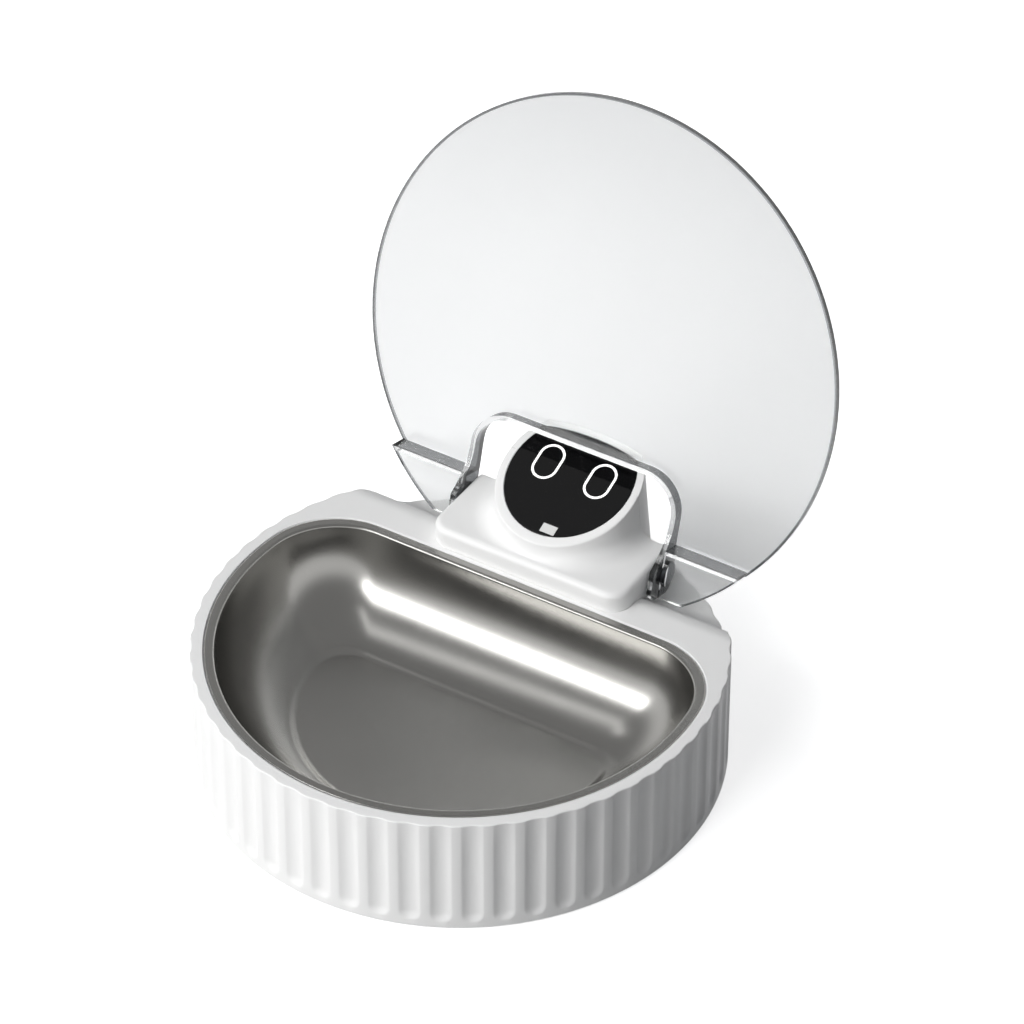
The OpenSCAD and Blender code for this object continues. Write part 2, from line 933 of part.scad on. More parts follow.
module motion_sensor() {
    color("dimgray")
        on_face(board_drop)
            translate([window_x - 3, coil_y - coil_r + 7, fit])
                cube([6, 5, 3]);
}

coil_r = 23;
coil_h = 2.4;
coil_band = 1.6;
coil_wall = 1.4;
coil_flange_t = 0.8;
coil_drop = board_drop + board_t + coil_flange_t;

// A spool with two thin flanges that carries the reader coil
module coil_former() {
    color("ivory")
        on_face(coil_drop + coil_h)
            translate([0, coil_y, 0])
                rotate_extrude() {
                    translate([coil_r - coil_wall, -coil_flange_t])
                        square([coil_wall, coil_h + 2 * coil_flange_t]);
                    for (z = [-coil_flange_t, coil_h])
                        translate([coil_r - coil_wall, z])
                            square([coil_wall + coil_band, coil_flange_t]);
                }
}

module reader_coil() {
    color("peru")
        on_face(coil_drop + coil_h)
            translate([0, coil_y, 0])
                rotate_extrude()
                    translate([coil_r + run, run])
                        square([coil_band - 0.2, coil_h - 2 * run]);
}

// Lid

// Plan of the arch opening, with its wall's thickness added as g
module arch_outline(g = 0) {
    x = ear_in + g;
    front = arch_y - g;
    corner = arch_corner + g;
    translate([-x, front + corner])
        square([2 * x, far]);
    translate([-x + corner, front])
        square([2 * (x - corner), corner + eps]);
    for (side = [-1, 1])
        translate([side * (x - corner), front + corner])
            circle(corner);
}

module lid_panel() {
    translate([0, 0, lid_z])
        linear_extrude(lid_t)
            difference() {
                intersection() {
                    circle(lid_r, $fn = 180);
                    translate([-far / 2, lug_front - far])
                        square(far);
                }
                arch_outline();
            }
}

module arch_wall() {
    translate([0, 0, lid_top - arch_depth])
        linear_extrude(arch_depth - lid_t)
            intersection() {
                difference() {
                    arch_outline(lid_t);
                    arch_outline();
                }
                translate([-far / 2, ear_front - far])
                    square(far);
            }
}

// A step down behind the panel and a lug behind it, outside each ear
module lugs() {
    intersection() {
        cylinder(r = lid_r - lug_inset, h = far, $fn = 180);
        for (x = [-far, ear_out])
            along_x(x, far - (x < 0 ? ear_out : 0))
                polygon([[lug_front - lid_t, lug_z], [lug_rear, lug_z], [lug_rear, lug_z + lid_t],
                    [lug_front, lug_z + lid_t], [lug_front, lid_z], [lug_front - lid_t, lid_z]]);
    }
}

// Side view of an ear: level on top, deeper towards the hinge
module ear_outline() {
    low = [for (i = [0:10])
        let (t = i / 10)
        [ear_front + (ear_low_y - ear_front) * t,
            lid_top - arch_depth + (ear_low_z - lid_top + arch_depth) * pow(t, ear_curve)]];
    top_y = lug_rear - ear_round;
    polygon(concat(low, [[top_y, ear_low_z], [lug_rear, ear_low_z + ear_round],
        [lug_rear, lid_top - ear_round], [top_y, lid_top], [lug_front, lid_top],
        [lug_front, lid_z], [ear_front, lid_z]]));
    for (z = [ear_low_z + ear_round, lid_top - ear_round])
        translate([top_y, z])
            circle(ear_round, $fn = 32);
}

// Depth of the pocket that the lugs leave round a pin's head
pocket_l = pin_head_t + 0.6;

module open_lid() {
    translate([0, hinge_y, hinge_z])
        rotate([-lid_open, 0, 0])
            translate([0, -hinge_y, -hinge_z])
                children();
}

module lid() {
    color("lightgray", 0.4)
        open_lid()
            difference() {
                union() {
                    lid_panel();
                    arch_wall();
                    lugs();
                    for (x = [-ear_out, ear_in])
                        along_x(x, lid_t)
                            ear_outline();
                }
                rod_x(-ear_out - 1, lid_t + 2, hinge_y, hinge_z, pin_r + run);
                for (x = [-ear_out - pocket_l, ear_out])
                    rod_x(x, pocket_l, hinge_y, hinge_z, pin_head_r + 0.3);
                translate([ear_in - 1, hinge_y - key_w / 2 - run, hinge_z - key_w / 2 - run])
                    cube([lid_t + 2, key_w + 2 * run, key_w + 2 * run]);
            }
}

module pin_head(x) {
    rod_x(x, pin_head_t, hinge_y, hinge_z, pin_head_r);
}

module drive_shaft() {
    color("silver")
        open_lid()
            difference() {
                union() {
                    rod_x(frame_x - 1, ear_in - frame_x + 1, hinge_y, hinge_z, pin_r);
                    translate([ear_in, hinge_y - key_w / 2, hinge_z - key_w / 2])
                        cube([lid_t + run + eps, key_w, key_w]);
                    pin_head(ear_out + run);
                }
                shaft_flat();
            }
}

// Flat that carries the output gear round with the shaft
module shaft_flat() {
    translate([output_x - 1, hinge_y - 5, hinge_z + pin_r - 0.6])
        cube([gear_w + 2, 10, 10]);
}

module idle_pin() {
    color("silver")
        union() {
            rod_x(-ear_out - run, ear_out - plinth_x + 8, hinge_y, hinge_z, pin_r);
            pin_head(-ear_out - run - pin_head_t);
        }
}

clip_x = wall_t + 1.4 - plinth_x;

module pin_clip() {
    color("gray")
        difference() {
            rod_x(clip_x, 0.8, hinge_y, hinge_z, clip_r);
            rod_x(clip_x - 1, 4, hinge_y, hinge_z, pin_r + 0.02);
            translate([clip_x - 1, hinge_y - 1.2, hinge_z])
                cube([4, 2.4, 10]);
        }
}

module bush(x0, head_x) {
    difference() {
        union() {
            rod_x(x0, wall_t + 1.2, hinge_y, hinge_z, bush_r);
            rod_x(head_x, 1, hinge_y, hinge_z, bush_head_r);
        }
        rod_x(x0 - 2, wall_t + 6, hinge_y, hinge_z, pin_r + run);
    }
}

module drive_bush() {
    color("goldenrod")
        bush(plinth_x - wall_t - 1.2, plinth_x - wall_t - 1.2);
}

module idle_bush() {
    color("goldenrod")
        bush(-plinth_x, -plinth_x + wall_t + 0.2);
}

// Drive

module output_gear() {
    color("ivory")
        difference() {
            gear(output_x, gear_w, hinge_y, hinge_z, output_teeth, idler_turn);
            open_lid()
                difference() {
                    rod_x(output_x - 1, gear_w + 2, hinge_y, hinge_z, pin_r + run);
                    translate([0, 0, run])
                        shaft_flat();
                }
            for (i = [0:4])
                rod_spoke_hole(i);
        }
}

// Lightening holes in the output gear
module rod_spoke_hole(i) {
    a = i * 72;
    rod_x(output_x - 1, gear_w + 2, hinge_y + 7.8 * cos(a), hinge_z + 7.8 * sin(a), 2.6);
}

module idler_gear() {
    color("ivory")
        difference() {
            union() {
                gear(output_x - 0.6, gear_w + 1.4, idler_y, idler_z, pinion_teeth,
                    idler_turn + 180 + 180 / pinion_teeth);
                rod_x(output_x + gear_w + 0.4, 1.4, idler_y, idler_z, pinion_r - 1.2);
                gear(idler_x, gear_w, idler_y, idler_z, idler_teeth, motor_turn);
            }
            rod_x(output_x - 2, frame_far_x - output_x, idler_y, idler_z, axle_r + run);
        }
}

module idler_axle() {
    color("silver")
        rod_x(frame_x + run, frame_far_x + frame_t - frame_x - 2 * run, idler_y, idler_z, axle_r);
}

module motor_pinion() {
    color("goldenrod")
        difference() {
            gear(idler_x - 0.5, gear_w + 1, motor_y, motor_z, pinion_teeth,
                motor_turn + 180 + 180 / pinion_teeth);
            rod_x(idler_x - 2, gear_w + 4, motor_y, motor_z, shaft_r + 0.02);
        }
}

module motor_shaft() {
    color("silver")
        rod_x(frame_x - 4, idler_x + gear_w + 1 - frame_x + 4, motor_y, motor_z, shaft_r);
}

module motor_gearbox() {
    x0 = frame_x - fit - gearbox_l;
    color("darkkhaki")
        difference() {
            translate([x0, motor_y - motor_h / 2, motor_z - motor_w / 2])
                cube([gearbox_l, motor_h, motor_w]);
            rod_x(x0 + 4, gearbox_l, motor_y, motor_z, shaft_r + run);
        }
}

module motor_can() {
    x0 = frame_x - 2 * fit - gearbox_l - motor_l;
    color("silver")
        intersection() {
            rod_x(x0, motor_l, motor_y, motor_z, motor_h / 2);
            translate([x0, motor_y - motor_h / 2, motor_z - motor_w / 2])
                cube([motor_l, motor_h, motor_w]);
        }
}

module frame_plate(x, rear, top) {
    translate([x, idler_y - 8, frame_z])
        cube([frame_t, rear - idler_y + 8, top - frame_z]);
}

module gear_frame() {
    color("slategray")
        difference() {
            union() {
                frame_plate(frame_x, hinge_y + 10, hinge_z + 6);
                frame_plate(frame_far_x, idler_y + 5, idler_z + 6);
                translate([frame_x, frame_front, frame_z])
                    cube([frame_far_x + frame_t - frame_x, frame_rear - frame_front, frame_t]);
            }
            rod_x(frame_x - 1, frame_t + 2, hinge_y, hinge_z, pin_r + run);
            rod_x(frame_x - 1, frame_far_x + frame_t + 2, idler_y, idler_z, axle_r + 0.02);
            rod_x(frame_x - 1, frame_t + 2, motor_y, motor_z, shaft_r + 0.6);
            for (x = post_xs)
                for (y = post_ys)
                    translate([x, y, frame_z - 1])
                        cylinder(r = screw_r + 0.3, h = frame_t + 2, $fn = 24);
        }
}

module frame_screws() {
    color("silver")
        for (x = post_xs)
            for (y = post_ys)
                translate([x, y, frame_z + frame_t])
                    rotate([180, 0, 0])
                        screw_up(0, frame_screw_l);
}

// Electronics and power

module main_board() {
    color("darkgreen")
        difference() {
            translate([board_x, board_y, board_z])
                cube([board_l, board_w, board_t]);
            for (x = board_post_xs)
                for (y = board_post_ys)
                    translate([x, y, board_z - 1])
                        cylinder(r = 1.2, h = board_t + 2, $fn = 24);
        }
}

module board_parts() {
    top = board_z + board_t + run;
    color("black") {
        translate([board_x + 12, board_y + 8, top])
            cube([9, 9, 1.6]);
        translate([board_x + 25, board_y + 6, top])
            cube([5, 4, 1.4]);
    }
    color("silver")
        translate([board_x + 28, board_y + 17, top])
            cylinder(r = 3.2, h = 7);
    color("white") {
        translate([board_x + 8, board_y + 27, top])
            cube([10, 4.4, 5]);
        translate([board_x + 21, board_y + 27, top])
            cube([7.5, 4.4, 5]);
    }
}

module battery_cells() {
    for (y = cell_ys)
        for (side = [0, 1])
            mirror([side, 0, 0]) {
                color("dimgray")
                    rod_x(bay_gap / 2 + 1.2, cell_l - 1.4, y, cell_z, cell_r - run);
                color("silver")
                    rod_x(bay_gap / 2 + cell_l - 0.2, 1, y, cell_z, 2.7);
            }
}

module battery_springs() {
    color("silver")
        for (y = cell_ys)
            rotate([0, 90, 0])
                translate([-cell_z, y, -bay_x + 0.7])
                    rotate_extrude()
                        translate([3.4, 0])
                            square([0.8, bay_x - cell_l - bay_gap / 2 - 1.7]);
}

module battery_plates() {
    color("silver")
        for (y = cell_ys)
            for (side = [0, 1])
                mirror([side, 0, 0])
                    translate([bay_x - 0.6, y - plate_w / 2, cell_z - plate_w / 2])
                        cube([0.5, plate_w, plate_w]);
}

door_screw_y = bay_rear + bay_wall + 4;
door_tab_r = 5;
door_t = wall_t / 2;
door_boss_h = 9;

// Outline of the door: the bay's opening grown by g, with a tab for the screw
module door_outline(g) {
    translate([-bay_x - g, bay_front - g])
        square([2 * (bay_x + g), bay_rear - bay_front + 2 * g]);
    translate([0, door_screw_y])
        circle(door_tab_r + g, $fn = 48);
    translate([-door_tab_r - g, bay_rear - 1])
        square([2 * (door_tab_r + g), door_screw_y - bay_rear + 1]);
}

module battery_door() {
    color("gainsboro")
        difference() {
            translate([0, 0, skirt_z])
                linear_extrude(door_t - run)
                    door_outline(bay_wall - 0.3);
            translate([0, door_screw_y, 0])
                cylinder(r = screw_r + 0.4, h = far, $fn = 24);
        }
}

module door_screw() {
    color("silver")
        translate([0, door_screw_y, 0])
            screw_up(skirt_z, 7, head_r = 2.6, head_t = 0.9);
}

module usb_socket() {
    depth = 6;
    y1 = base_r - flute_depth - 0.6;
    color("silver")
        translate([0, y1 - usb_l, usb_z])
            rotate([-90, 0, 0])
                difference() {
                    linear_extrude(usb_l)
                        usb_outline(0);
                    translate([0, 0, usb_l - depth])
                        linear_extrude(far)
                            difference() {
                                usb_outline(-0.35);
                                square([5.4, 0.7], center = true);
                            }
                }
}

module usb_outline(g) {
    for (side = [-1, 1])
        translate([side * (usb_w - usb_h) / 2, 0])
            circle(usb_h / 2 + g, $fn = 32);
    square([usb_w - usb_h, usb_h + 2 * g], center = true);
}

module power_button() {
    color("silver")
        translate([0, head_rear_r + 1.2, button_z])
            rotate([90, 0, 0]) {
                cylinder(r = button_r, h = wall_t + 1.6, $fn = 48);
                translate([0, 0, wall_t + 1.6 - eps])
                    cylinder(r = button_r + 1.2, h = 1, $fn = 48);
            }
}

module power_switch() {
    body = 6;
    color("dimgray") {
        translate([0, switch_y, button_z])
            rotate([90, 0, 0])
                cylinder(r = 1.7, h = 1 + eps, $fn = 24);
        translate([-body / 2, switch_y - switch_l, button_z - body / 2])
            cube([body, switch_l - 1, body]);
    }
    color("darkgreen")
        translate([-switch_board_w / 2, switch_y - switch_l - switch_board_t,
            button_z - switch_board_h / 2])
            cube([switch_board_w, switch_board_t, switch_board_h]);
}

base_shell();
bottom_cover();
rubber_feet();
cover_screws();
steel_bowl();
head_housing();
head_rear_cover();
housing_screws();
face_lens();
eye_ring_left();
eye_ring_right();
sensor_window();
sensor_board();
eye_leds();
motion_sensor();
coil_former();
reader_coil();
lid();
drive_shaft();
idle_pin();
pin_clip();
drive_bush();
idle_bush();
output_gear();
idler_gear();
idler_axle();
motor_pinion();
motor_shaft();
motor_gearbox();
motor_can();
gear_frame();
frame_screws();
main_board();
board_parts();
battery_cells();
battery_springs();
battery_plates();
battery_door();
door_screw();
usb_socket();
power_button();
power_switch();
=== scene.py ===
import json
import math

import bpy
import numpy as np
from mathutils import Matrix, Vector


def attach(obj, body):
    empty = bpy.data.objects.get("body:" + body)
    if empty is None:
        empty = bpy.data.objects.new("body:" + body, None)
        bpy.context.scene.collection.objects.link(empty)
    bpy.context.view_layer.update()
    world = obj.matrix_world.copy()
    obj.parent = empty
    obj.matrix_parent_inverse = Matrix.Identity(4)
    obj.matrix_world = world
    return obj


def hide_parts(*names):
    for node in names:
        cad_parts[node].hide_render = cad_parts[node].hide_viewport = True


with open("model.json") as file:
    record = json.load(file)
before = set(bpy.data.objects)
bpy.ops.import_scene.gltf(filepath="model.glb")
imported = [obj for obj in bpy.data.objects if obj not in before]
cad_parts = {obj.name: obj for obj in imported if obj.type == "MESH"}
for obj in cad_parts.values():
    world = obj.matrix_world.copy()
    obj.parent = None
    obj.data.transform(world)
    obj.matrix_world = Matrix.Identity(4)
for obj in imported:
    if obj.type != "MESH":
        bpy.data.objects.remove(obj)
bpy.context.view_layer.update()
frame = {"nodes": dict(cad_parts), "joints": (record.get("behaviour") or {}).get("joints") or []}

bl_info = {
    "name": "Pet Feeder Look",
    "version": (1, 0, 0),
    "blender": (4, 5, 0),
    "location": "3D View > Sidebar > Feeder",
    "description": "Dresses a round pet feeder with a motor lid over its fixed CAD frame",
    "category": "Object",
}

MM = 0.001


# Colour and nodes


def linear(hex_colour):
    """The linear RGB of an sRGB hex colour."""
    values = [int(hex_colour[i:i + 2], 16) / 255 for i in (1, 3, 5)]
    return tuple(v / 12.92 if v <= 0.04045 else ((v + 0.055) / 1.055) ** 2.4 for v in values)


def add_node(tree, kind, settings=None, inputs=None):
    """Adds a node with its settings. An input given as a socket is linked, and any other is set."""
    node = tree.nodes.new(kind)
    for name, value in (settings or {}).items():
        setattr(node, name, value)
    for name, value in (inputs or {}).items():
        if isinstance(value, bpy.types.NodeSocket):
            tree.links.new(value, node.inputs[name])
        else:
            node.inputs[name].default_value = value
    return node


def new_material(name):
    """An empty material with its output node, and its node tree."""
    material = bpy.data.materials.new(name)
    material.use_nodes = True
    tree = material.node_tree
    tree.nodes.clear()
    return material, tree, tree.nodes.new("ShaderNodeOutputMaterial")


def object_place(tree):
    """Places in metres in the feeder's own frame."""
    return add_node(tree, "ShaderNodeTexCoord").outputs["Object"]


def mottled(tree, place, colour, spread, patch_mm, detail=2.0):
    """A colour that wanders by a share of itself over patches of the given size."""
    noise = add_node(tree, "ShaderNodeTexNoise", inputs={
        "Vector": place, "Scale": 1000 / patch_mm, "Detail": detail})
    low = [c * (1 - spread) for c in colour[:3]] + [1]
    high = [min(1, c * (1 + spread)) for c in colour[:3]] + [1]
    mix = add_node(tree, "ShaderNodeMix", {"data_type": "RGBA"}, {"Factor": noise.outputs["Fac"]})
    mix.inputs["A"].default_value = low
    mix.inputs["B"].default_value = high
    return mix.outputs["Result"]


def seen_itself(tree):
    """1 for rays that see the background itself: from the camera, in a gloss or through glass."""
    path = add_node(tree, "ShaderNodeLightPath")
    shiny = add_node(tree, "ShaderNodeMath", {"operation": "MAXIMUM"}, {
        0: path.outputs["Is Glossy Ray"], 1: path.outputs["Is Transmission Ray"]})
    return add_node(tree, "ShaderNodeMath", {"operation": "MAXIMUM"}, {
        0: path.outputs["Is Camera Ray"], 1: shiny.outputs[0]}).outputs[0]


def spread_value(tree, place, low, high, patch_mm):
    """A number that wanders between two values over patches of the given size."""
    noise = add_node(tree, "ShaderNodeTexNoise", inputs={
        "Vector": place, "Scale": 1000 / patch_mm, "Detail": 2.0})
    return add_node(tree, "ShaderNodeMapRange", inputs={
        "Value": noise.outputs["Fac"], "From Min": 0.3, "From Max": 0.7,
        "To Min": low, "To Max": high}).outputs["Result"]


def grained(tree, place, grain_mm, height_mm, normal=None, stretch=(1, 1, 1)):
    """A normal with a fine random grain of the given size and height."""
    scaled = add_node(tree, "ShaderNodeMapping", inputs={"Vector": place, "Scale": stretch})
    noise = add_node(tree, "ShaderNodeTexNoise", inputs={
        "Vector": scaled.outputs["Vector"], "Scale": 1000 / grain_mm, "Detail": 3.0})
    bump = add_node(tree, "ShaderNodeBump", inputs={
        "Height": noise.outputs["Fac"], "Strength": 1.0, "Distance": height_mm * MM})
    if normal is not None:
        tree.links.new(normal, bump.inputs["Normal"])
    return bump.outputs["Normal"]


def eased_edges(tree, radius_mm):
    """A normal that rounds sharp edges over the given radius."""
    return add_node(tree, "ShaderNodeBevel", {"samples": 4},
                    {"Radius": radius_mm * MM}).outputs["Normal"]


def moulded_abs(name, colour, roughness=0.42, edge_mm=0.5):
    """ABS from a spark-eroded tool: a satin skin whose fine grain softens every highlight.
    The real grain is about 0.1 mm, and it is drawn at 0.5 mm so that it shows."""
    material, tree, output = new_material(name)
    place = object_place(tree)
    shader = add_node(tree, "ShaderNodeBsdfPrincipled", inputs={
        "Base Color": mottled(tree, place, colour, 0.012, 30),
        "Roughness": spread_value(tree, place, roughness - 0.03, roughness + 0.03, 12),
        "IOR": 1.53,
        "Normal": grained(tree, place, 0.5, 0.006, eased_edges(tree, edge_mm))})
    tree.links.new(shader.outputs["BSDF"], output.inputs["Surface"])
    return material


def bead_blasted_steel(name, colour, roughness):
    """Stainless steel drawn to shape and bead-blasted: a soft grey metal with broad, calm
    highlights. The pits are about 0.05 mm, and they are drawn at 0.3 mm so that they show."""
    material, tree, output = new_material(name)
    place = object_place(tree)
    shader = add_node(tree, "ShaderNodeBsdfPrincipled", inputs={
        "Base Color": mottled(tree, place, colour, 0.015, 40),
        "Metallic": 1.0,
        "Roughness": spread_value(tree, place, roughness - 0.012, roughness + 0.012, 25),
        "Normal": grained(tree, place, 0.3, 0.0012)})
    tree.links.new(shader.outputs["BSDF"], output.inputs["Surface"])
    return material


def frosted_polycarbonate(name, face, rim, square, middle, rim_r, haze, per_mm):
    """Injection-moulded polycarbonate from a tool that is matt over the panel and polished
    along its rim and flanges. The panel blurs what is behind it. The rim is glassy, and a smoky
    grey (rim) is painted on it and the flanges as painted shade for the dark edge that glass shows;
    the absorption inside darkens long paths through it as well. square is the panel's direction,
    middle a point on its axis, and rim_r the radius where the rim begins."""
    material, tree, output = new_material(name)
    coordinates = add_node(tree, "ShaderNodeTexCoord")
    place = coordinates.outputs["Object"]
    facing = add_node(tree, "ShaderNodeVectorMath", {"operation": "DOT_PRODUCT"}, {
        0: coordinates.outputs["Normal"], 1: square})
    flat = add_node(tree, "ShaderNodeMath", {"operation": "ABSOLUTE"}, {0: facing.outputs["Value"]})
    side = add_node(tree, "ShaderNodeMapRange", inputs={
        "Value": flat.outputs[0], "From Min": 0.5, "From Max": 0.9, "To Min": 1, "To Max": 0})
    arm = add_node(tree, "ShaderNodeVectorMath", {"operation": "SUBTRACT"}, {0: place, 1: middle})
    across = add_node(tree, "ShaderNodeVectorMath", {"operation": "CROSS_PRODUCT"}, {
        0: arm.outputs[0], 1: square})
    reach = add_node(tree, "ShaderNodeVectorMath", {"operation": "LENGTH"}, {0: across.outputs[0]})
    outside = add_node(tree, "ShaderNodeMapRange", {"interpolation_type": "SMOOTHSTEP"}, {
        "Value": reach.outputs["Value"], "From Min": rim_r * MM, "From Max": (rim_r + 0.6) * MM})
    edge = add_node(tree, "ShaderNodeMath", {"operation": "MAXIMUM"}, {
        0: side.outputs["Result"], 1: outside.outputs["Result"]})
    # Painted shade: the rim band and the side faces are mixed to the grey rim colour, for the dark edge
    # that glass shows
    tint = add_node(tree, "ShaderNodeMix", {"data_type": "RGBA"}, {"Factor": edge.outputs[0]})
    tree.links.new(mottled(tree, place, face, 0.004, 60), tint.inputs["A"])
    tint.inputs["B"].default_value = list(rim) + [1]
    matt = add_node(tree, "ShaderNodeMapRange", inputs={
        "Value": edge.outputs[0], "To Min": haze, "To Max": 0.04})
    shader = add_node(tree, "ShaderNodeBsdfPrincipled", inputs={
        "Base Color": tint.outputs["Result"],
        "Roughness": matt.outputs["Result"],
        "IOR": 1.585,
        "Transmission Weight": 1.0,
        "Normal": grained(tree, place, 25, 0.01)})
    # Lamps shine through the panel and leave a light shadow behind it
    path = add_node(tree, "ShaderNodeLightPath")
    clear = add_node(tree, "ShaderNodeBsdfTransparent", inputs={"Color": (0.6, 0.6, 0.6, 1)})
    mix = add_node(tree, "ShaderNodeMixShader", inputs={
        0: path.outputs["Is Shadow Ray"], 1: shader.outputs["BSDF"], 2: clear.outputs["BSDF"]})
    volume = add_node(tree, "ShaderNodeVolumeAbsorption", inputs={
        "Color": (0.32, 0.32, 0.33, 1), "Density": per_mm / MM})
    tree.links.new(mix.outputs[0], output.inputs["Surface"])
    tree.links.new(volume.outputs["Volume"], output.inputs["Volume"])
    return material


def polished_pmma(name, colour):
    """Dark acrylic from a polished tool: deep black with a clean, slightly wavy gloss."""
    material, tree, output = new_material(name)
    place = object_place(tree)
    shader = add_node(tree, "ShaderNodeBsdfPrincipled", inputs={
        "Base Color": mottled(tree, place, colour, 0.05, 20),
        "Roughness": 0.06,
        "IOR": 1.49,
        "Normal": grained(tree, place, 22, 0.006, eased_edges(tree, 0.4))})
    tree.links.new(shader.outputs["BSDF"], output.inputs["Surface"])
    return material


def lit_opal_pmma(name, colour, glow):
    """Opal acrylic light guide with a lamp behind it: milk white that glows evenly."""
    material, tree, output = new_material(name)
    place = object_place(tree)
    tint = mottled(tree, place, colour, 0.01, 5)
    shader = add_node(tree, "ShaderNodeBsdfPrincipled", inputs={
        "Base Color": tint,
        "Roughness": 0.25,
        "IOR": 1.49,
        "Emission Color": tint,
        "Emission Strength": glow})
    tree.links.new(shader.outputs["BSDF"], output.inputs["Surface"])
    return material


def moulded_tpe(name, colour):
    """Soft moulded elastomer: dull, with a dry bloom on its surface."""
    material, tree, output = new_material(name)
    place = object_place(tree)
    shader = add_node(tree, "ShaderNodeBsdfPrincipled", inputs={
        "Base Color": mottled(tree, place, colour, 0.08, 6),
        "Roughness": 0.82,
        "IOR": 1.5,
        "Normal": grained(tree, place, 0.7, 0.02, eased_edges(tree, 0.5))})
    tree.links.new(shader.outputs["BSDF"], output.inputs["Surface"])
    return material


def plated_metal(name, colour, roughness, streak=(1, 1, 1)):
    """Turned, stamped, plated or sleeved metal: bright, with fine tool lines."""
    material, tree, output = new_material(name)
    place = object_place(tree)
    shader = add_node(tree, "ShaderNodeBsdfPrincipled", inputs={
        "Base Color": mottled(tree, place, colour, 0.05, 4),
        "Metallic": 1.0,
        "Roughness": spread_value(tree, place, roughness - 0.05, roughness + 0.07, 3),
        "Normal": grained(tree, place, 0.5, 0.004, eased_edges(tree, 0.2), streak)})
    tree.links.new(shader.outputs["BSDF"], output.inputs["Surface"])
    return material


def moulded_nylon(name, colour, roughness=0.5):
    """Nylon from a plain tool: waxy, and slightly clouded through its thickness."""
    material, tree, output = new_material(name)
    place = object_place(tree)
    shader = add_node(tree, "ShaderNodeBsdfPrincipled", inputs={
        "Base Color": mottled(tree, place, colour, 0.05, 5, 3.0),
        "Roughness": spread_value(tree, place, roughness - 0.05, roughness + 0.05, 4),
        "IOR": 1.53,
        "Normal": grained(tree, place, 0.6, 0.008, eased_edges(tree, 0.25))})
    tree.links.new(shader.outputs["BSDF"], output.inputs["Surface"])
    return material


def solder_masked_board(name, colour):
    """Glass-epoxy board under a green solder mask: the copper runs show as paler lines."""
    material, tree, output = new_material(name)
    place = object_place(tree)
    bricks = add_node(tree, "ShaderNodeTexBrick", {"offset": 0.37}, {
        "Vector": place, "Scale": 1000 / 9, "Mortar Size": 0.035, "Mortar Smooth": 0.1,
        "Color1": list(colour) + [1], "Color2": [c * 0.85 for c in colour] + [1],
        "Mortar": [min(1, c * 1.9) for c in colour] + [1]})
    shader = add_node(tree, "ShaderNodeBsdfPrincipled", inputs={
        "Base Color": bricks.outputs["Color"],
        "Roughness": spread_value(tree, place, 0.25, 0.4, 4),
        "IOR": 1.55,
        "Normal": grained(tree, place, 0.8, 0.004)})
    tree.links.new(shader.outputs["BSDF"], output.inputs["Surface"])
    return material


def wound_copper(name, colour):
    """Enamelled copper wire in close turns. The wire is 0.2 mm, drawn at 0.4 mm so it shows."""
    material, tree, output = new_material(name)
    place = object_place(tree)
    turns = add_node(tree, "ShaderNodeTexWave", {"bands_direction": "Z"}, {
        "Vector": place, "Scale": 1000 / 0.4 / 6.28, "Distortion": 0.6})
    bump = add_node(tree, "ShaderNodeBump", inputs={
        "Height": turns.outputs["Fac"], "Strength": 0.8, "Distance": 0.1 * MM})
    shader = add_node(tree, "ShaderNodeBsdfPrincipled", inputs={
        "Base Color": mottled(tree, place, colour, 0.08, 3),
        "Metallic": 1.0,
        "Roughness": 0.3,
        "Normal": bump.outputs["Normal"]})
    tree.links.new(shader.outputs["BSDF"], output.inputs["Surface"])
    return material


# Mesh building


def finish_mesh(name, points, faces, material, smooth_deg=35):
    """An object from points in millimetres, smooth except over edges sharper than the angle."""
    mesh = bpy.data.meshes.new(name)
    mesh.from_pydata([tuple(p * MM for p in point) for point in points], [], faces)
    mesh.update()
    mesh.validate()
    mesh.shade_smooth()
    mesh.set_sharp_from_angle(angle=math.radians(smooth_deg))
    mesh.materials.append(material)
    piece = bpy.data.objects.new(name, mesh)
    bpy.context.scene.collection.objects.link(piece)
    return piece


def skin(rows, closed_round=True, closed_loop=False):
    """Points and faces of a skin over rows of equal length.
    closed_round joins each row's ends, and closed_loop joins the last row to the first."""
    count = len(rows[0])
    points = [tuple(p) for row in rows for p in row]
    faces = []
    last = len(rows) if closed_loop else len(rows) - 1
    for k in range(last):
        low, high = k * count, ((k + 1) % len(rows)) * count
        for i in range(count if closed_round else count - 1):
            j = (i + 1) % count
            faces.append((low + i, low + j, high + j, high + i))
    return points, faces


def inward(outline, distance):
    """A closed plan outline moved inward by a distance, along its own normals."""
    plan = np.asarray(outline, float)
    along = np.roll(plan, -1, 0) - np.roll(plan, 1, 0)
    along /= np.linalg.norm(along, axis=1)[:, None]
    normal = np.stack([-along[:, 1], along[:, 0]], 1)
    return plan + distance * normal


def quarter(count):
    """Steps of a quarter round: pairs of (share sideways, share upward) from 0 to 1."""
    turns = [math.pi / 2 * i / count for i in range(count + 1)]
    return [(1 - math.cos(a), math.sin(a)) for a in turns]


def add_boolean(piece, cutter):
    """Cuts one mesh out of another and applies the result."""
    modifier = piece.modifiers.new("cut", "BOOLEAN")
    modifier.operation = "DIFFERENCE"
    modifier.solver = "EXACT"
    modifier.object = cutter
    graph = bpy.context.evaluated_depsgraph_get()
    cut = bpy.data.meshes.new_from_object(piece.evaluated_get(graph))
    piece.modifiers.clear()
    old = piece.data
    piece.data = cut
    bpy.data.meshes.remove(old)
    bpy.data.objects.remove(cutter)


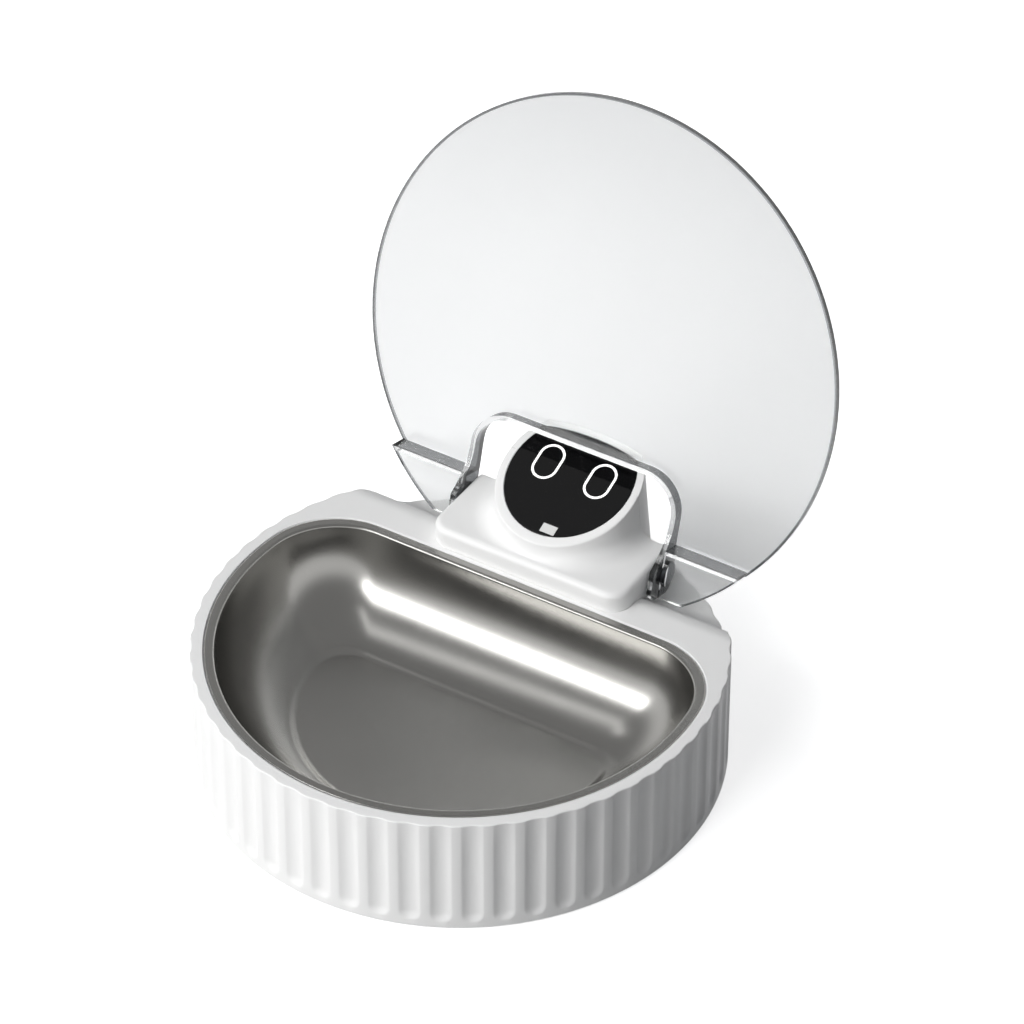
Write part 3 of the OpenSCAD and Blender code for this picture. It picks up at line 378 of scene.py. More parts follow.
def soften(node_name, width_mm, segments=2):
    """Rounds the crisp edges of a CAD node that stays as it is."""
    piece = frame["nodes"][node_name]
    flat = piece.modifiers.new("flats", "DECIMATE")
    flat.decimate_type = "DISSOLVE"
    flat.angle_limit = math.radians(0.6)
    bevel = piece.modifiers.new("edges", "BEVEL")
    bevel.width = width_mm * MM
    bevel.segments = segments
    bevel.limit_method = "ANGLE"
    bevel.angle_limit = math.radians(30)
    bevel.use_clamp_overlap = True


def dress(material, *node_names):
    """Gives CAD nodes their material."""
    for name in node_names:
        piece = frame["nodes"][name]
        piece.data.materials.clear()
        piece.data.materials.append(material)


# Sizes and colours


def length(name, description, value_mm, low_mm=0.0, high_mm=400.0):
    return bpy.props.FloatProperty(
        name=name, description=description, default=value_mm, min=low_mm, max=high_mm)


def colour(name, description, hex_colour):
    return bpy.props.FloatVectorProperty(
        name=name, description=description, subtype="COLOR", size=3, min=0, max=1,
        default=linear(hex_colour))


class FeederSizes(bpy.types.PropertyGroup):
    """Sizes in millimetres of the pieces that are built here over the CAD frame."""
    flute_edge: length("Flute edge", "Softness of the edge between a flute and its land, mm", 0.4)
    deck_edge: length("Deck edge", "Rounding of the deck's outer edge, mm", 0.5, 0.1, 1.5)
    bowl_bend: length("Bowl bend", "Radius of the bend from the flange to the wall, mm", 1.3, 0.3, 3)
    bowl_step: length("Bowl step", "Height of the step round the bowl's floor, mm", 0.35, 0, 1)
    plinth_edge: length("Plinth edge", "Rounding of the plinth's top edge, mm", 3.0, 0.5, 4)
    rim_edge: length("Rim edge", "Rounding of the rim round the face, mm", 0.7, 0.1, 1)
    lid_r: length("Lid radius", "Radius of the lid, mm", 119.5)
    # The lid's rim band is glossier, and it carries the painted shade of grey along the lid's edge
    lid_rim_painted_shade: length("Lid rim", "Width of the polished rim round the panel, mm", 1.5, 0, 4)
    lid_edge: length("Lid edge", "Rounding of the lid's edges, mm", 0.5, 0.1, 1)


class FeederColours(bpy.types.PropertyGroup):
    """Colours of the feeder's finishes."""
    shell: colour("Shell", "White of the moulded shells", "#F3F3F2")
    shell_low: colour("Underside", "Pale grey of the bottom cover and the battery door", "#CDCDCC")
    steel: colour("Bowl steel", "Grey of the bead-blasted bowl", "#A9A8A5")
    face: colour("Face", "Black of the face's window", "#0B0B0C")
    rings: colour("Rings", "White of the eye rings", "#F6F6F4")
    sensor: colour("Sensor window", "White of the motion sensor's window", "#E4E4E2")
    lid: colour("Lid", "Tint of the clear lid across its thickness", "#FAFBFB")
    # Painted shade: this grey is painted along the lid's rim and flanges for the dark edge that glass
    # shows
    lid_rim_painted_shade: colour("Lid rim", "Tint of the lid's rim and flanges", "#77797B")
    rubber: colour("Pads", "Grey of the rubber pads", "#4A4A4C")


# Base shell

BASE_R = 120.0
WALL = 2.4
SKIRT_Z = 1.2
DECK_Z = 61.0
SHELF_DROP = 14.0
SLOPE_FRONT = 63.0
SLOPE_RUN = 26.0
SLOPE_R = (SLOPE_RUN ** 2 + SHELF_DROP ** 2) / (4 * SHELF_DROP)
FLUTES = 55
FLUTE_DEPTH = 1.2
# Share of a flute's depth that is gone at the deck, and how far up that easing starts
FLUTE_EASE = 0.4
EASE_FROM = 0.6
# Height above which a flute has its whole depth
FLUTE_FULL_Z = 12.0
FLUTE_TURN = math.radians(2.1)
FLUTE_PITCH = 2 * math.pi / FLUTES
FLUTE_START = math.pi / 2 + FLUTE_PITCH / 2 + FLUTE_TURN
FLUTE_W = 9.6
FLUTE_R = (FLUTE_W ** 2 / 4 + FLUTE_DEPTH ** 2) / (2 * FLUTE_DEPTH)
FLUTE_CENTRE = BASE_R - FLUTE_DEPTH + FLUTE_R
FLUTE_LOW = SKIRT_Z + 4 + FLUTE_W / 2
INNER_R = BASE_R - FLUTE_DEPTH - WALL
OPEN_R, OPEN_REAR, OPEN_CORNER = 114.0, 50.0, 38.0
LEDGE_W = 3.2
SHEET = 0.9
# Slot of the charging inlet: width, height, its ends along Y, and the height of its middle
CHARGING_SLOT = (9.3, 3.5, 112, 125, 16)
# Low and high corners of the well in the deck for the lid's drive
DRIVE_WELL = ((-35, 66.5, 40), (35, 88, 70))


def deck_height(y):
    """Height of the deck, its slope and the rear shelf at a place y."""
    y = np.asarray(y, float)
    far = SLOPE_FRONT + SLOPE_RUN
    middle = SLOPE_FRONT + SLOPE_RUN / 2
    fall = np.sqrt(np.maximum(0, SLOPE_R ** 2 - (y - SLOPE_FRONT) ** 2)) - SLOPE_R
    rise = SLOPE_R - SHELF_DROP - np.sqrt(np.maximum(0, SLOPE_R ** 2 - (far - y) ** 2))
    low = np.where(y < middle, fall, rise)
    return DECK_Z + np.where(y <= SLOPE_FRONT, 0, np.where(y >= far, -SHELF_DROP, low))


def flute_angles():
    """Directions of the wall's columns, dense at the edges of each flute."""
    half = math.asin(FLUTE_W / 2 / BASE_R)
    shares = [0, 0.2, 0.4, 0.58, 0.74, 0.86, 0.94, 1.0, 1.06]
    offsets = sorted({s * half * side for s in shares for side in (-1, 1)} | {FLUTE_PITCH / 2})
    centres = [FLUTE_START + i * FLUTE_PITCH for i in range(FLUTES)]
    return np.array([c + o for c in centres for o in offsets])


def wall_radius(angles, z, edge):
    """Radius of the fluted wall at height z, with softened flute edges."""
    off = (angles - FLUTE_START + FLUTE_PITCH / 2) % FLUTE_PITCH - FLUTE_PITCH / 2
    down = np.maximum(0, FLUTE_LOW - z)
    across = FLUTE_CENTRE * np.sin(off)
    room = FLUTE_R ** 2 - down ** 2 - across ** 2
    cut = np.where(room > 0, FLUTE_CENTRE * np.cos(off) - np.sqrt(np.maximum(room, 0)), 1e3)
    near = np.maximum(edge - np.abs(cut - BASE_R), 0) / edge
    return np.minimum(cut, BASE_R) - near ** 2 * edge / 4


def opening_radius(angles, r, rear, corner):
    """Distance from the centre to the bowl opening's outline in each direction."""
    cy = rear - corner
    cx = math.sqrt((r - corner) ** 2 - cy ** 2)
    turn = math.atan2(cy, cx)
    out = np.full(len(angles), float(r))
    for i, a in enumerate(angles):
        a = math.atan2(math.sin(a), math.cos(a))
        if turn < a < math.pi - turn:
            side = 1 if math.cos(a) >= 0 else -1
            bx, by = side * cx, cy
            along = bx * math.cos(a) + by * math.sin(a)
            room = along ** 2 - (cx ** 2 + cy ** 2) + corner ** 2
            reach = along + math.sqrt(room) if room > 0 else 0
            x, y = reach * math.cos(a), reach * math.sin(a)
            round_part = room > 0 and (x - bx) * side > 0 and (y - by) > 0
            out[i] = reach if round_part else rear / math.sin(a)
    return out


def ring(angles, radius, z):
    """Points round the base's axis, one in each direction."""
    radius = np.broadcast_to(radius, angles.shape)
    z = np.broadcast_to(z, angles.shape)
    return np.stack([radius * np.cos(angles), radius * np.sin(angles), z], 1)


def pill_cutter(width, height, y0, y1, z):
    """A slot-shaped bar along Y."""
    r = height / 2
    half = (width - height) / 2
    turns = [math.pi / 2 - math.pi * i / 12 for i in range(13)]
    plan = [(half + r * math.cos(a), z + r * math.sin(a)) for a in turns]
    plan += [(-x, 2 * z - h) for x, h in plan]
    points, faces = skin([[(x, y, h) for x, h in plan] for y in (y0, y1)])
    count = len(plan)
    faces += [tuple(range(count - 1, -1, -1)), tuple(range(count, 2 * count))]
    return points, faces


def block_cutter(low, high):
    """A block between two corners."""
    xs, ys, zs = zip(low, high)
    rows = [[(xs[0], ys[0], z), (xs[1], ys[0], z), (xs[1], ys[1], z), (xs[0], ys[1], z)] for z in zs]
    points, faces = skin(rows)
    return points, faces + [(3, 2, 1, 0), (4, 5, 6, 7)]


class FEEDER_OT_base_shell(bpy.types.Operator):
    """Build the fluted shell with its deck, slope and rear shelf"""
    bl_idname = "feeder.base_shell"
    bl_label = "Base shell"

    def execute(self, context):
        sizes, colours = context.scene.feeder_sizes, context.scene.feeder_colours
        angles = flute_angles()
        edge = sizes.deck_edge
        # The flutes run out a little towards the deck
        fluted = wall_radius(angles, DECK_Z, sizes.flute_edge)
        eased = fluted + (BASE_R - fluted) * FLUTE_EASE
        outline = ring(angles, eased, 0)[:, :2]
        rim = deck_height(outline[:, 1])
        rows = []
        for z in (SKIRT_Z, SKIRT_Z + 0.25, SKIRT_Z + 0.8):
            rows.append(ring(angles, BASE_R - (SKIRT_Z + 0.8 - z), z))
        for z in (5.0, 5.4, 5.9, 6.5, 7.2, 8.0, 9.0, 10.0, FLUTE_FULL_Z):
            rows.append(ring(angles, wall_radius(angles, z, sizes.flute_edge), z))
        for share in (0.25, 0.5, 0.7, 0.8, 0.9, 1.0):
            radius = fluted + (eased - fluted) * max(0, (share - EASE_FROM) / (1 - EASE_FROM)) ** 2
            height = FLUTE_FULL_Z + (rim - edge - FLUTE_FULL_Z) * share
            rows.append(ring(angles, radius, height))
        for side, up in quarter(4):
            plan = inward(outline, side * edge)
            height = deck_height(plan[:, 1]) - edge * (1 - up)
            rows.append(np.column_stack([plan, height]))
        start = inward(outline, edge)
        mouth = ring(angles, opening_radius(angles, OPEN_R + 0.3, OPEN_REAR + 0.3, OPEN_CORNER), 0)
        for share in np.linspace(0, 1, 42)[1:]:
            plan = start + (mouth[:, :2] - start) * share
            rows.append(np.column_stack([plan, deck_height(plan[:, 1])]))
        for grow, drop in ((0.1, 0.1), (0.0, 0.3), (0.0, SHEET), (-LEDGE_W, SHEET), (-LEDGE_W, WALL)):
            reach = opening_radius(angles, OPEN_R + grow, OPEN_REAR + grow, OPEN_CORNER + grow)
            rows.append(ring(angles, reach, DECK_Z - drop))
        inner = rows[-1][:, :2]
        wall = ring(angles, INNER_R, 0)[:, :2]
        for share in np.linspace(0, 1, 30)[1:]:
            plan = inner + (wall - inner) * share
            rows.append(np.column_stack([plan, deck_height(plan[:, 1]) - WALL]))
        rows.append(ring(angles, INNER_R, SKIRT_Z))
        points, faces = skin(rows, closed_loop=True)
        white = moulded_abs("moulded_abs_white", colours.shell)
        shell = finish_mesh("fluted_shell", points, faces, white)
        cuts = (pill_cutter(*CHARGING_SLOT), block_cutter(*DRIVE_WELL))
        for number, (cut_points, cut_faces) in enumerate(cuts):
            cutter = finish_mesh(f"cutter_{number}", cut_points, cut_faces, white)
            add_boolean(shell, cutter)
        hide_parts("base_shell")
        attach(shell, "base")
        return {"FINISHED"}


# Steel bowl


def bowl_outline(r, rear, corner, front_n=132, corner_n=22, rear_n=30):
    """Points of the bowl's plan: a round front, two round corners and a straight rear."""
    cy = rear - corner
    cx = math.sqrt((r - corner) ** 2 - cy ** 2)
    turn = math.atan2(cy, cx)
    points = []
    for i in range(front_n + 1):
        a = turn - i * (math.pi + 2 * turn) / front_n
        points.append((r * math.cos(a), r * math.sin(a)))
    for i in range(1, corner_n + 1):
        a = math.pi - turn - i * (math.pi / 2 - turn) / corner_n
        points.append((-cx + corner * math.cos(a), cy + corner * math.sin(a)))
    for i in range(1, rear_n):
        points.append((-cx + 2 * cx * i / rear_n, rear))
    for i in range(corner_n):
        a = math.pi / 2 - i * (math.pi / 2 - turn) / corner_n
        points.append((cx + corner * math.cos(a), cy + corner * math.sin(a)))
    return points


FLANGE_R, FLANGE_REAR, FLANGE_CORNER = 113.4, 49.4, 37.4
FLANGE_W = 4.6
BOWL_DEPTH = 42.0
BOWL_SWEEP = 39.0
# Turn of the wall's curve at the floor, run of the soft step there, and the floor's middle
FLOOR_TURN = math.radians(78)
STEP_RUN = 4.8
FLOOR_Y = -28


def bowl_row(inset, z):
    """A ring of the bowl's skin, inset from the flange's edge, z above the deck."""
    corner = FLANGE_CORNER - 0.55 * inset
    plan = bowl_outline(FLANGE_R - inset, FLANGE_REAR - inset, corner)
    return [(x, y, DECK_Z + z) for x, y in plan]


class FEEDER_OT_bowl(bpy.types.Operator):
    """Build the drawn steel bowl with its rolled flange and the step round its floor"""
    bl_idname = "feeder.bowl"
    bl_label = "Steel bowl"

    def execute(self, context):
        sizes, colours = context.scene.feeder_sizes, context.scene.feeder_colours
        bend = sizes.bowl_bend
        step = sizes.bowl_step
        first = math.asin(bend / BOWL_DEPTH)
        turns = [first + (FLOOR_TURN - first) * i / 26 for i in range(27)]
        rows = []
        for a in [math.radians(90), math.radians(85)] + turns[::-1]:
            inset = FLANGE_W + BOWL_SWEEP * (1 - math.cos(a)) - SHEET * math.cos(a)
            rows.append(bowl_row(inset, -BOWL_DEPTH * math.sin(a) - SHEET * math.sin(a)))
        rows.append(bowl_row(FLANGE_W - SHEET, -SHEET))
        half = SHEET / 2
        for i in range(9):
            a = -math.pi / 2 + math.pi * i / 8
            rows.append(bowl_row(half - half * math.cos(a), -half + half * math.sin(a)))
        for inset in (0.7, 1.1, 2.0, FLANGE_W - bend - 0.3):
            rows.append(bowl_row(inset, 0))
        for i in range(7):
            a = math.pi / 2 * i / 6
            rows.append(bowl_row(FLANGE_W - bend + bend * math.sin(a), bend * (math.cos(a) - 1)))
        for a in turns[1:]:
            inset = FLANGE_W + BOWL_SWEEP * (1 - math.cos(a))
            rows.append(bowl_row(inset, -(BOWL_DEPTH - step) * math.sin(a)))
        low = -(BOWL_DEPTH - step) * math.sin(FLOOR_TURN)
        for i in range(1, 9):
            share = (i / 8) ** 2 * (3 - 2 * i / 8)
            rows.append(bowl_row(inset + STEP_RUN * i / 8, low + (-BOWL_DEPTH - low) * share))
        points, faces = skin(rows)
        count = len(rows[0])
        for number, z in ((0, -BOWL_DEPTH - SHEET), (len(rows) - 1, -BOWL_DEPTH)):
            middle = len(points)
            points.append((0, FLOOR_Y, DECK_Z + z))
            begin = number * count
            for i in range(count):
                pair = (begin + i, begin + (i + 1) % count)
                faces.append((middle, *pair) if number else (middle, pair[1], pair[0]))
        steel = bead_blasted_steel("bead_blasted_stainless", colours.steel, 0.24)
        bowl = finish_mesh("drawn_bowl", points, faces, steel, 60)
        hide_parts("steel_bowl")
        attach(bowl, "bowl")
        return {"FINISHED"}


# Head

PLINTH_X, PLINTH_FRONT, PLINTH_REAR, PLINTH_CORNER = 51.0, 52.0, 96.0, 10.0
PLINTH_Z = DECK_Z + 10
HEAD_Y = 93.0
HEAD_R = 35.5
HEAD_LEAN = math.tan(math.radians(4.5))
FILLET_ACROSS = 8.5
FILLET_UP = 7.0
FACE_TILT = math.tan(math.radians(21))
FACE_Z = DECK_Z + 31
LENS_R = 30.15
# The lens's pocket, the ledge that it rests on, and the hollow below the ledge
LENS_DROP = 2.0
SEAT_R = 27.6
SEAT_DROP = 3.6
HOLLOW_R = 31.4


def plinth_reach(angle, grow):
    """Distance from the head's axis to the plinth's outline, grown by grow."""
    x_wall, y_wall = PLINTH_X + grow, HEAD_Y - PLINTH_FRONT + grow
    corner = PLINTH_CORNER + grow
    c, s = math.cos(angle), math.sin(angle)
    reach = x_wall / max(abs(c), 1e-9)
    if s < 0:
        reach = min(reach, y_wall / -s)
    bx, by = (x_wall - corner) * (1 if c >= 0 else -1), -(y_wall - corner)
    if abs(reach * c) > abs(bx) and reach * s < by:
        along = bx * c + by * s
        reach = along + math.sqrt(max(0, along ** 2 - bx ** 2 - by ** 2 + corner ** 2))
    return reach


def head_plan(reach, shares):
    """Plan points round the head's axis that end on the seam with the rear cover.
    reach gives the distance for an angle, and shares run from -1 to 1 round the front."""
    seam = PLINTH_REAR - HEAD_Y
    end = math.asin(min(1, seam / reach(0.05)))
    for _ in range(4):
        end = math.asin(min(1, seam / reach(end)))
    plan = []
    for share in shares:
        a = -math.pi / 2 + (math.pi / 2 + end) * share
        r = reach(a)
        plan.append((r * math.cos(a), HEAD_Y + r * math.sin(a)))
    return plan


class FEEDER_OT_head(bpy.types.Operator):
    """Build the plinth and the leaning head with the rim round its face"""
    bl_idname = "feeder.head"
    bl_label = "Head housing"

    def execute(self, context):
        sizes, colours = context.scene.feeder_sizes, context.scene.feeder_colours
        shares = np.linspace(-1, 1, 241)
        edge = sizes.plinth_edge
        rows = []

        def wall_row(grow, height):
            plan = head_plan(lambda a: plinth_reach(a, grow), shares)
            rows.append([(x, y, height(y)) for x, y in plan])

        def round_row(r, height):
            plan = head_plan(lambda a: r, shares)
            rows.append([(x, y, height(x, y)) for x, y in plan])

        def face_height(x, y, drop=0.0):
            return FACE_Z + FACE_TILT * (y - HEAD_Y) - drop

        def on_cone(grow, share):
            """A ring up the leaning wall, from the fillet's top at 0 to the face at 1."""
            low = PLINTH_Z + FILLET_UP
            plan = []
            for s in shares:
                r, x, y = HEAD_R, 0, 0
                for _ in range(6):
                    top = low
                    end = math.asin(min(1, (PLINTH_REAR - HEAD_Y) / r))
                    a = -math.pi / 2 + (math.pi / 2 + end) * s
                    x, y = r * math.cos(a), HEAD_Y + r * math.sin(a)
                    top = low + (face_height(x, y, sizes.rim_edge) - low) * share
                    r = HEAD_R + grow - (top - PLINTH_Z) * HEAD_LEAN
                plan.append((x, y, top))
            rows.append(plan)

        wall_row(-WALL, lambda y: float(deck_height(y)) + 0.15)
        wall_row(0, lambda y: float(deck_height(y)) + 0.15)
        for share in (0.35, 0.7, 1.0):
            wall_row(0, lambda y, s=share: float(deck_height(y)) + 0.15
                     + (PLINTH_Z - edge - float(deck_height(y)) - 0.15) * s)
        for side, up in quarter(6)[1:]:
            wall_row(-side * edge, lambda y, u=up: PLINTH_Z - edge * (1 - u))

        def fillet_reach(angle):
            """Width of the fillet at the head's foot, less where the plinth leaves little room."""
            room = plinth_reach(angle, -edge) - HEAD_R - 0.2
            return (max(room, 0.5) ** -4 + FILLET_ACROSS ** -4) ** -0.25

        outer = np.array(rows[-1])
        foot = np.array([(x, y, PLINTH_Z) for x, y in
                         head_plan(lambda a: HEAD_R + fillet_reach(a), shares)])
        for share in (0.25, 0.5, 0.75, 0.95):
            rows.append((outer + (foot - outer) * share).tolist())
        for i in range(11):
            a = math.pi / 2 * i / 10
            up = FILLET_UP * (1 - math.cos(a))
            plan = head_plan(lambda t, a=a, up=up: HEAD_R + fillet_reach(t) * (1 - math.sin(a))
                             - up * HEAD_LEAN, shares)
            rows.append([(x, y, PLINTH_Z + up) for x, y in plan])
        for share in (0.3, 0.65, 1.0):
            on_cone(0, share)
        brim = np.array(rows[-1])
        centre = np.array([0, HEAD_Y])
        radial = brim[:, :2] - centre
        reach = np.linalg.norm(radial, axis=1)[:, None]
        for side, up in quarter(4)[1:]:
            plan = centre + radial * (reach - side * sizes.rim_edge) / reach
            z = [face_height(x, y, sizes.rim_edge * (1 - up)) for x, y in plan]
            rows.append(np.column_stack([plan, z]).tolist())
        for r, drop in ((LENS_R + 0.3, 0), (LENS_R, 0.3), (LENS_R, LENS_DROP), (SEAT_R, LENS_DROP),
                        (SEAT_R, SEAT_DROP), (HOLLOW_R, SEAT_DROP)):
            round_row(r, lambda x, y, d=drop: face_height(x, y, d))
        round_row(HEAD_R - WALL, lambda x, y: PLINTH_Z - WALL)
        inside = head_plan(lambda a: plinth_reach(a, -WALL), shares)
        rows.append([(x, y, PLINTH_Z - WALL) for x, y in inside])
        points, faces = skin(rows, closed_round=False, closed_loop=True)
        white = bpy.data.materials["moulded_abs_white"]
        head = finish_mesh("head_shell", points, faces, white)
        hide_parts("head_housing")
        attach(head, "base")
        dress(white, "head_rear_cover")
        dress(moulded_abs("moulded_abs_grey", colours.shell_low), "bottom_cover", "battery_door",
              "power_button")
        return {"FINISHED"}


class FEEDER_OT_face(bpy.types.Operator):
    """Finish the black window with its two eye rings and the small sensor window"""
    bl_idname = "feeder.face"
    bl_label = "Face"

    def execute(self, context):
        colours = context.scene.feeder_colours
        dress(polished_pmma("polished_pmma_black", colours.face), "face_lens")
        dress(lit_opal_pmma("lit_opal_pmma", colours.rings, 0.75), "eye_ring_left", "eye_ring_right")
        dress(moulded_nylon("moulded_sensor_lens", colours.sensor, 0.3), "sensor_window")
        soften("face_lens", 0.25)
        return {"FINISHED"}


class FEEDER_OT_lid(bpy.types.Operator):
    """Finish the clear lid with its arch, lugs and ears"""
    bl_idname = "feeder.lid"
    bl_label = "Lid"

    def execute(self, context):
        sizes, colours = context.scene.feeder_sizes, context.scene.feeder_colours
        hinge = next(j for j in frame["joints"] if j["name"] == "lid_hinge")
        turn = math.radians(hinge["range_deg"][1])
        square = Vector((0, math.sin(turn), math.cos(turn)))
        along = Vector((0, -math.cos(turn), math.sin(turn)))
        pivot = Vector(hinge["pos_m"])
        middle = pivot + along * pivot.y
        # The lid's rim and flanges get painted shade: the grey rim colour stands in for the dark edge
        # that glass shows
        clear = frosted_polycarbonate("frosted_polycarbonate", colours.lid, colours.lid_rim_painted_shade, square,
                                      middle, sizes.lid_r - sizes.lid_rim_painted_shade, 0.13, 0.012)
        dress(clear, "lid")
        soften("lid", sizes.lid_edge, 3)
        return {"FINISHED"}


class FEEDER_OT_fittings(bpy.types.Operator):
    """Finish the screws, pins, bushes and pads"""
    bl_idname = "feeder.fittings"
    bl_label = "Fittings"

    def execute(self, context):
        colours = context.scene.feeder_colours
        zinc = plated_metal("zinc_plated_steel", linear("#B9BCBE"), 0.3)
        dress(zinc, "cover_screws", "housing_screws", "frame_screws", "door_screw",
              "idler_axle", "motor_shaft", "battery_springs", "battery_plates", "usb_socket")
        # Dark steel on the pins: its darkness is partly painted shade, for the shadow round the pin
        # heads at the lid's ears
        dress(plated_metal("dark_steel_and_painted_shade", linear("#4E5052"), 0.42), "drive_shaft", "idle_pin",
              "pin_clip")
        dress(plated_metal("turned_brass", linear("#C2A15A"), 0.25, (1, 6, 6)), "drive_bush",
              "idle_bush", "motor_pinion", "motor_gearbox")
        dress(plated_metal("nickel_plated_can", linear("#C6C7C6"), 0.22), "motor_can")
        dress(moulded_tpe("moulded_tpe_grey", colours.rubber), "rubber_feet")
        return {"FINISHED"}


class FEEDER_OT_drive(bpy.types.Operator):
    """Finish the gears and their frame"""
    bl_idname = "feeder.drive"
    bl_label = "Drive"

    def execute(self, context):
        dress(moulded_nylon("moulded_nylon_ivory", linear("#E9E3D2")), "output_gear", "idler_gear",
              "coil_former")
        dress(moulded_nylon("glass_filled_nylon_grey", linear("#6A6D70"), 0.6), "gear_frame")
        return {"FINISHED"}


class FEEDER_OT_electronics(bpy.types.Operator):
    """Finish the boards, lamps, sensor, coil and batteries"""
    bl_idname = "feeder.electronics"
    bl_label = "Electronics"

    def execute(self, context):
        dress(solder_masked_board("solder_masked_board", linear("#1F5B35")), "main_board",
              "sensor_board")
        dress(moulded_nylon("moulded_epoxy_black", linear("#1B1B1C"), 0.45), "board_parts",
              "motion_sensor", "power_switch")
        dress(lit_opal_pmma("clear_resin_lamp", linear("#E7D98A"), 0.4), "eye_leds")
        dress(wound_copper("wound_copper", linear("#B0703F")), "reader_coil")
        dress(plated_metal("shrink_sleeved_cell", linear("#6A6E73"), 0.35), "battery_cells")
        return {"FINISHED"}


# Stage


# Place that the lamps and the camera are aimed at, in metres
TARGET = Vector((0, 0.043, 0.106))
# Height on the studio's round wall where the ceiling starts and where it is fully dark,
# as the sine of the angle above the floor, and the ceiling's brightness
CEILING_START = 0.36
CEILING_FULL = 0.66
CEILING_LEVEL = 0.32
# How much the white floor glows to the camera, and where it is seen through glass
FLOOR_GLOW = 0.75
FLOOR_GLOW_BEHIND_GLASS = 0.3
# How much light the floor gives back to the eye, and how much it throws on the feeder
FLOOR_SEEN = 0.92
FLOOR_BOUNCE = 0.2
FLOOR_HALF = 3000.0
# The camera, as in the photograph. CAMERA_ZOOM is the photograph's pixels for a metre.
CAMERA_AZIMUTH, CAMERA_ELEVATION = 32, 39
CAMERA_DISTANCE = 2.2
CAMERA_ZOOM = 2260
IMAGE_WIDTH = 1024


def direction(azimuth, elevation):
    """The direction of a place round the feeder. Azimuth 0 is in front, and 90 on its right."""
    a, e = math.radians(azimuth), math.radians(elevation)
    return Vector((math.sin(a) * math.cos(e), -math.cos(a) * math.cos(e), math.sin(e)))


def add_lamp(name, azimuth, elevation, distance, size, watts):
    """An area lamp aimed at the feeder, with its size and distance in metres."""
    back = direction(azimuth, elevation)
    data = bpy.data.lights.new(name, "AREA")
    data.shape = "RECTANGLE"
    data.size, data.size_y = size
    data.energy = watts
    lamp = bpy.data.objects.new(name, data)
    lamp.location = TARGET + back * distance
    lamp.rotation_euler = back.to_track_quat("Z", "Y").to_euler()
    bpy.context.scene.collection.objects.link(lamp)
    return lamp


def studio_white(tree):
    """Strength of the white surroundings: 1 all round, and less overhead in a gloss."""
    path = add_node(tree, "ShaderNodeLightPath")
    place = add_node(tree, "ShaderNodeTexCoord").outputs["Generated"]
    height = add_node(tree, "ShaderNodeSeparateXYZ", inputs={"Vector": place}).outputs["Z"]
    ceiling = add_node(tree, "ShaderNodeMapRange", {"interpolation_type": "SMOOTHSTEP"}, {
        "Value": height, "From Min": CEILING_START, "From Max": CEILING_FULL,
        "To Min": 0, "To Max": 1 - CEILING_LEVEL})
    loss = add_node(tree, "ShaderNodeMath", {"operation": "MULTIPLY"}, {
        0: ceiling.outputs["Result"], 1: path.outputs["Is Glossy Ray"]})
    return add_node(tree, "ShaderNodeMath", {"operation": "SUBTRACT"}, {
        0: 1.0, 1: loss.outputs[0]}).outputs[0]


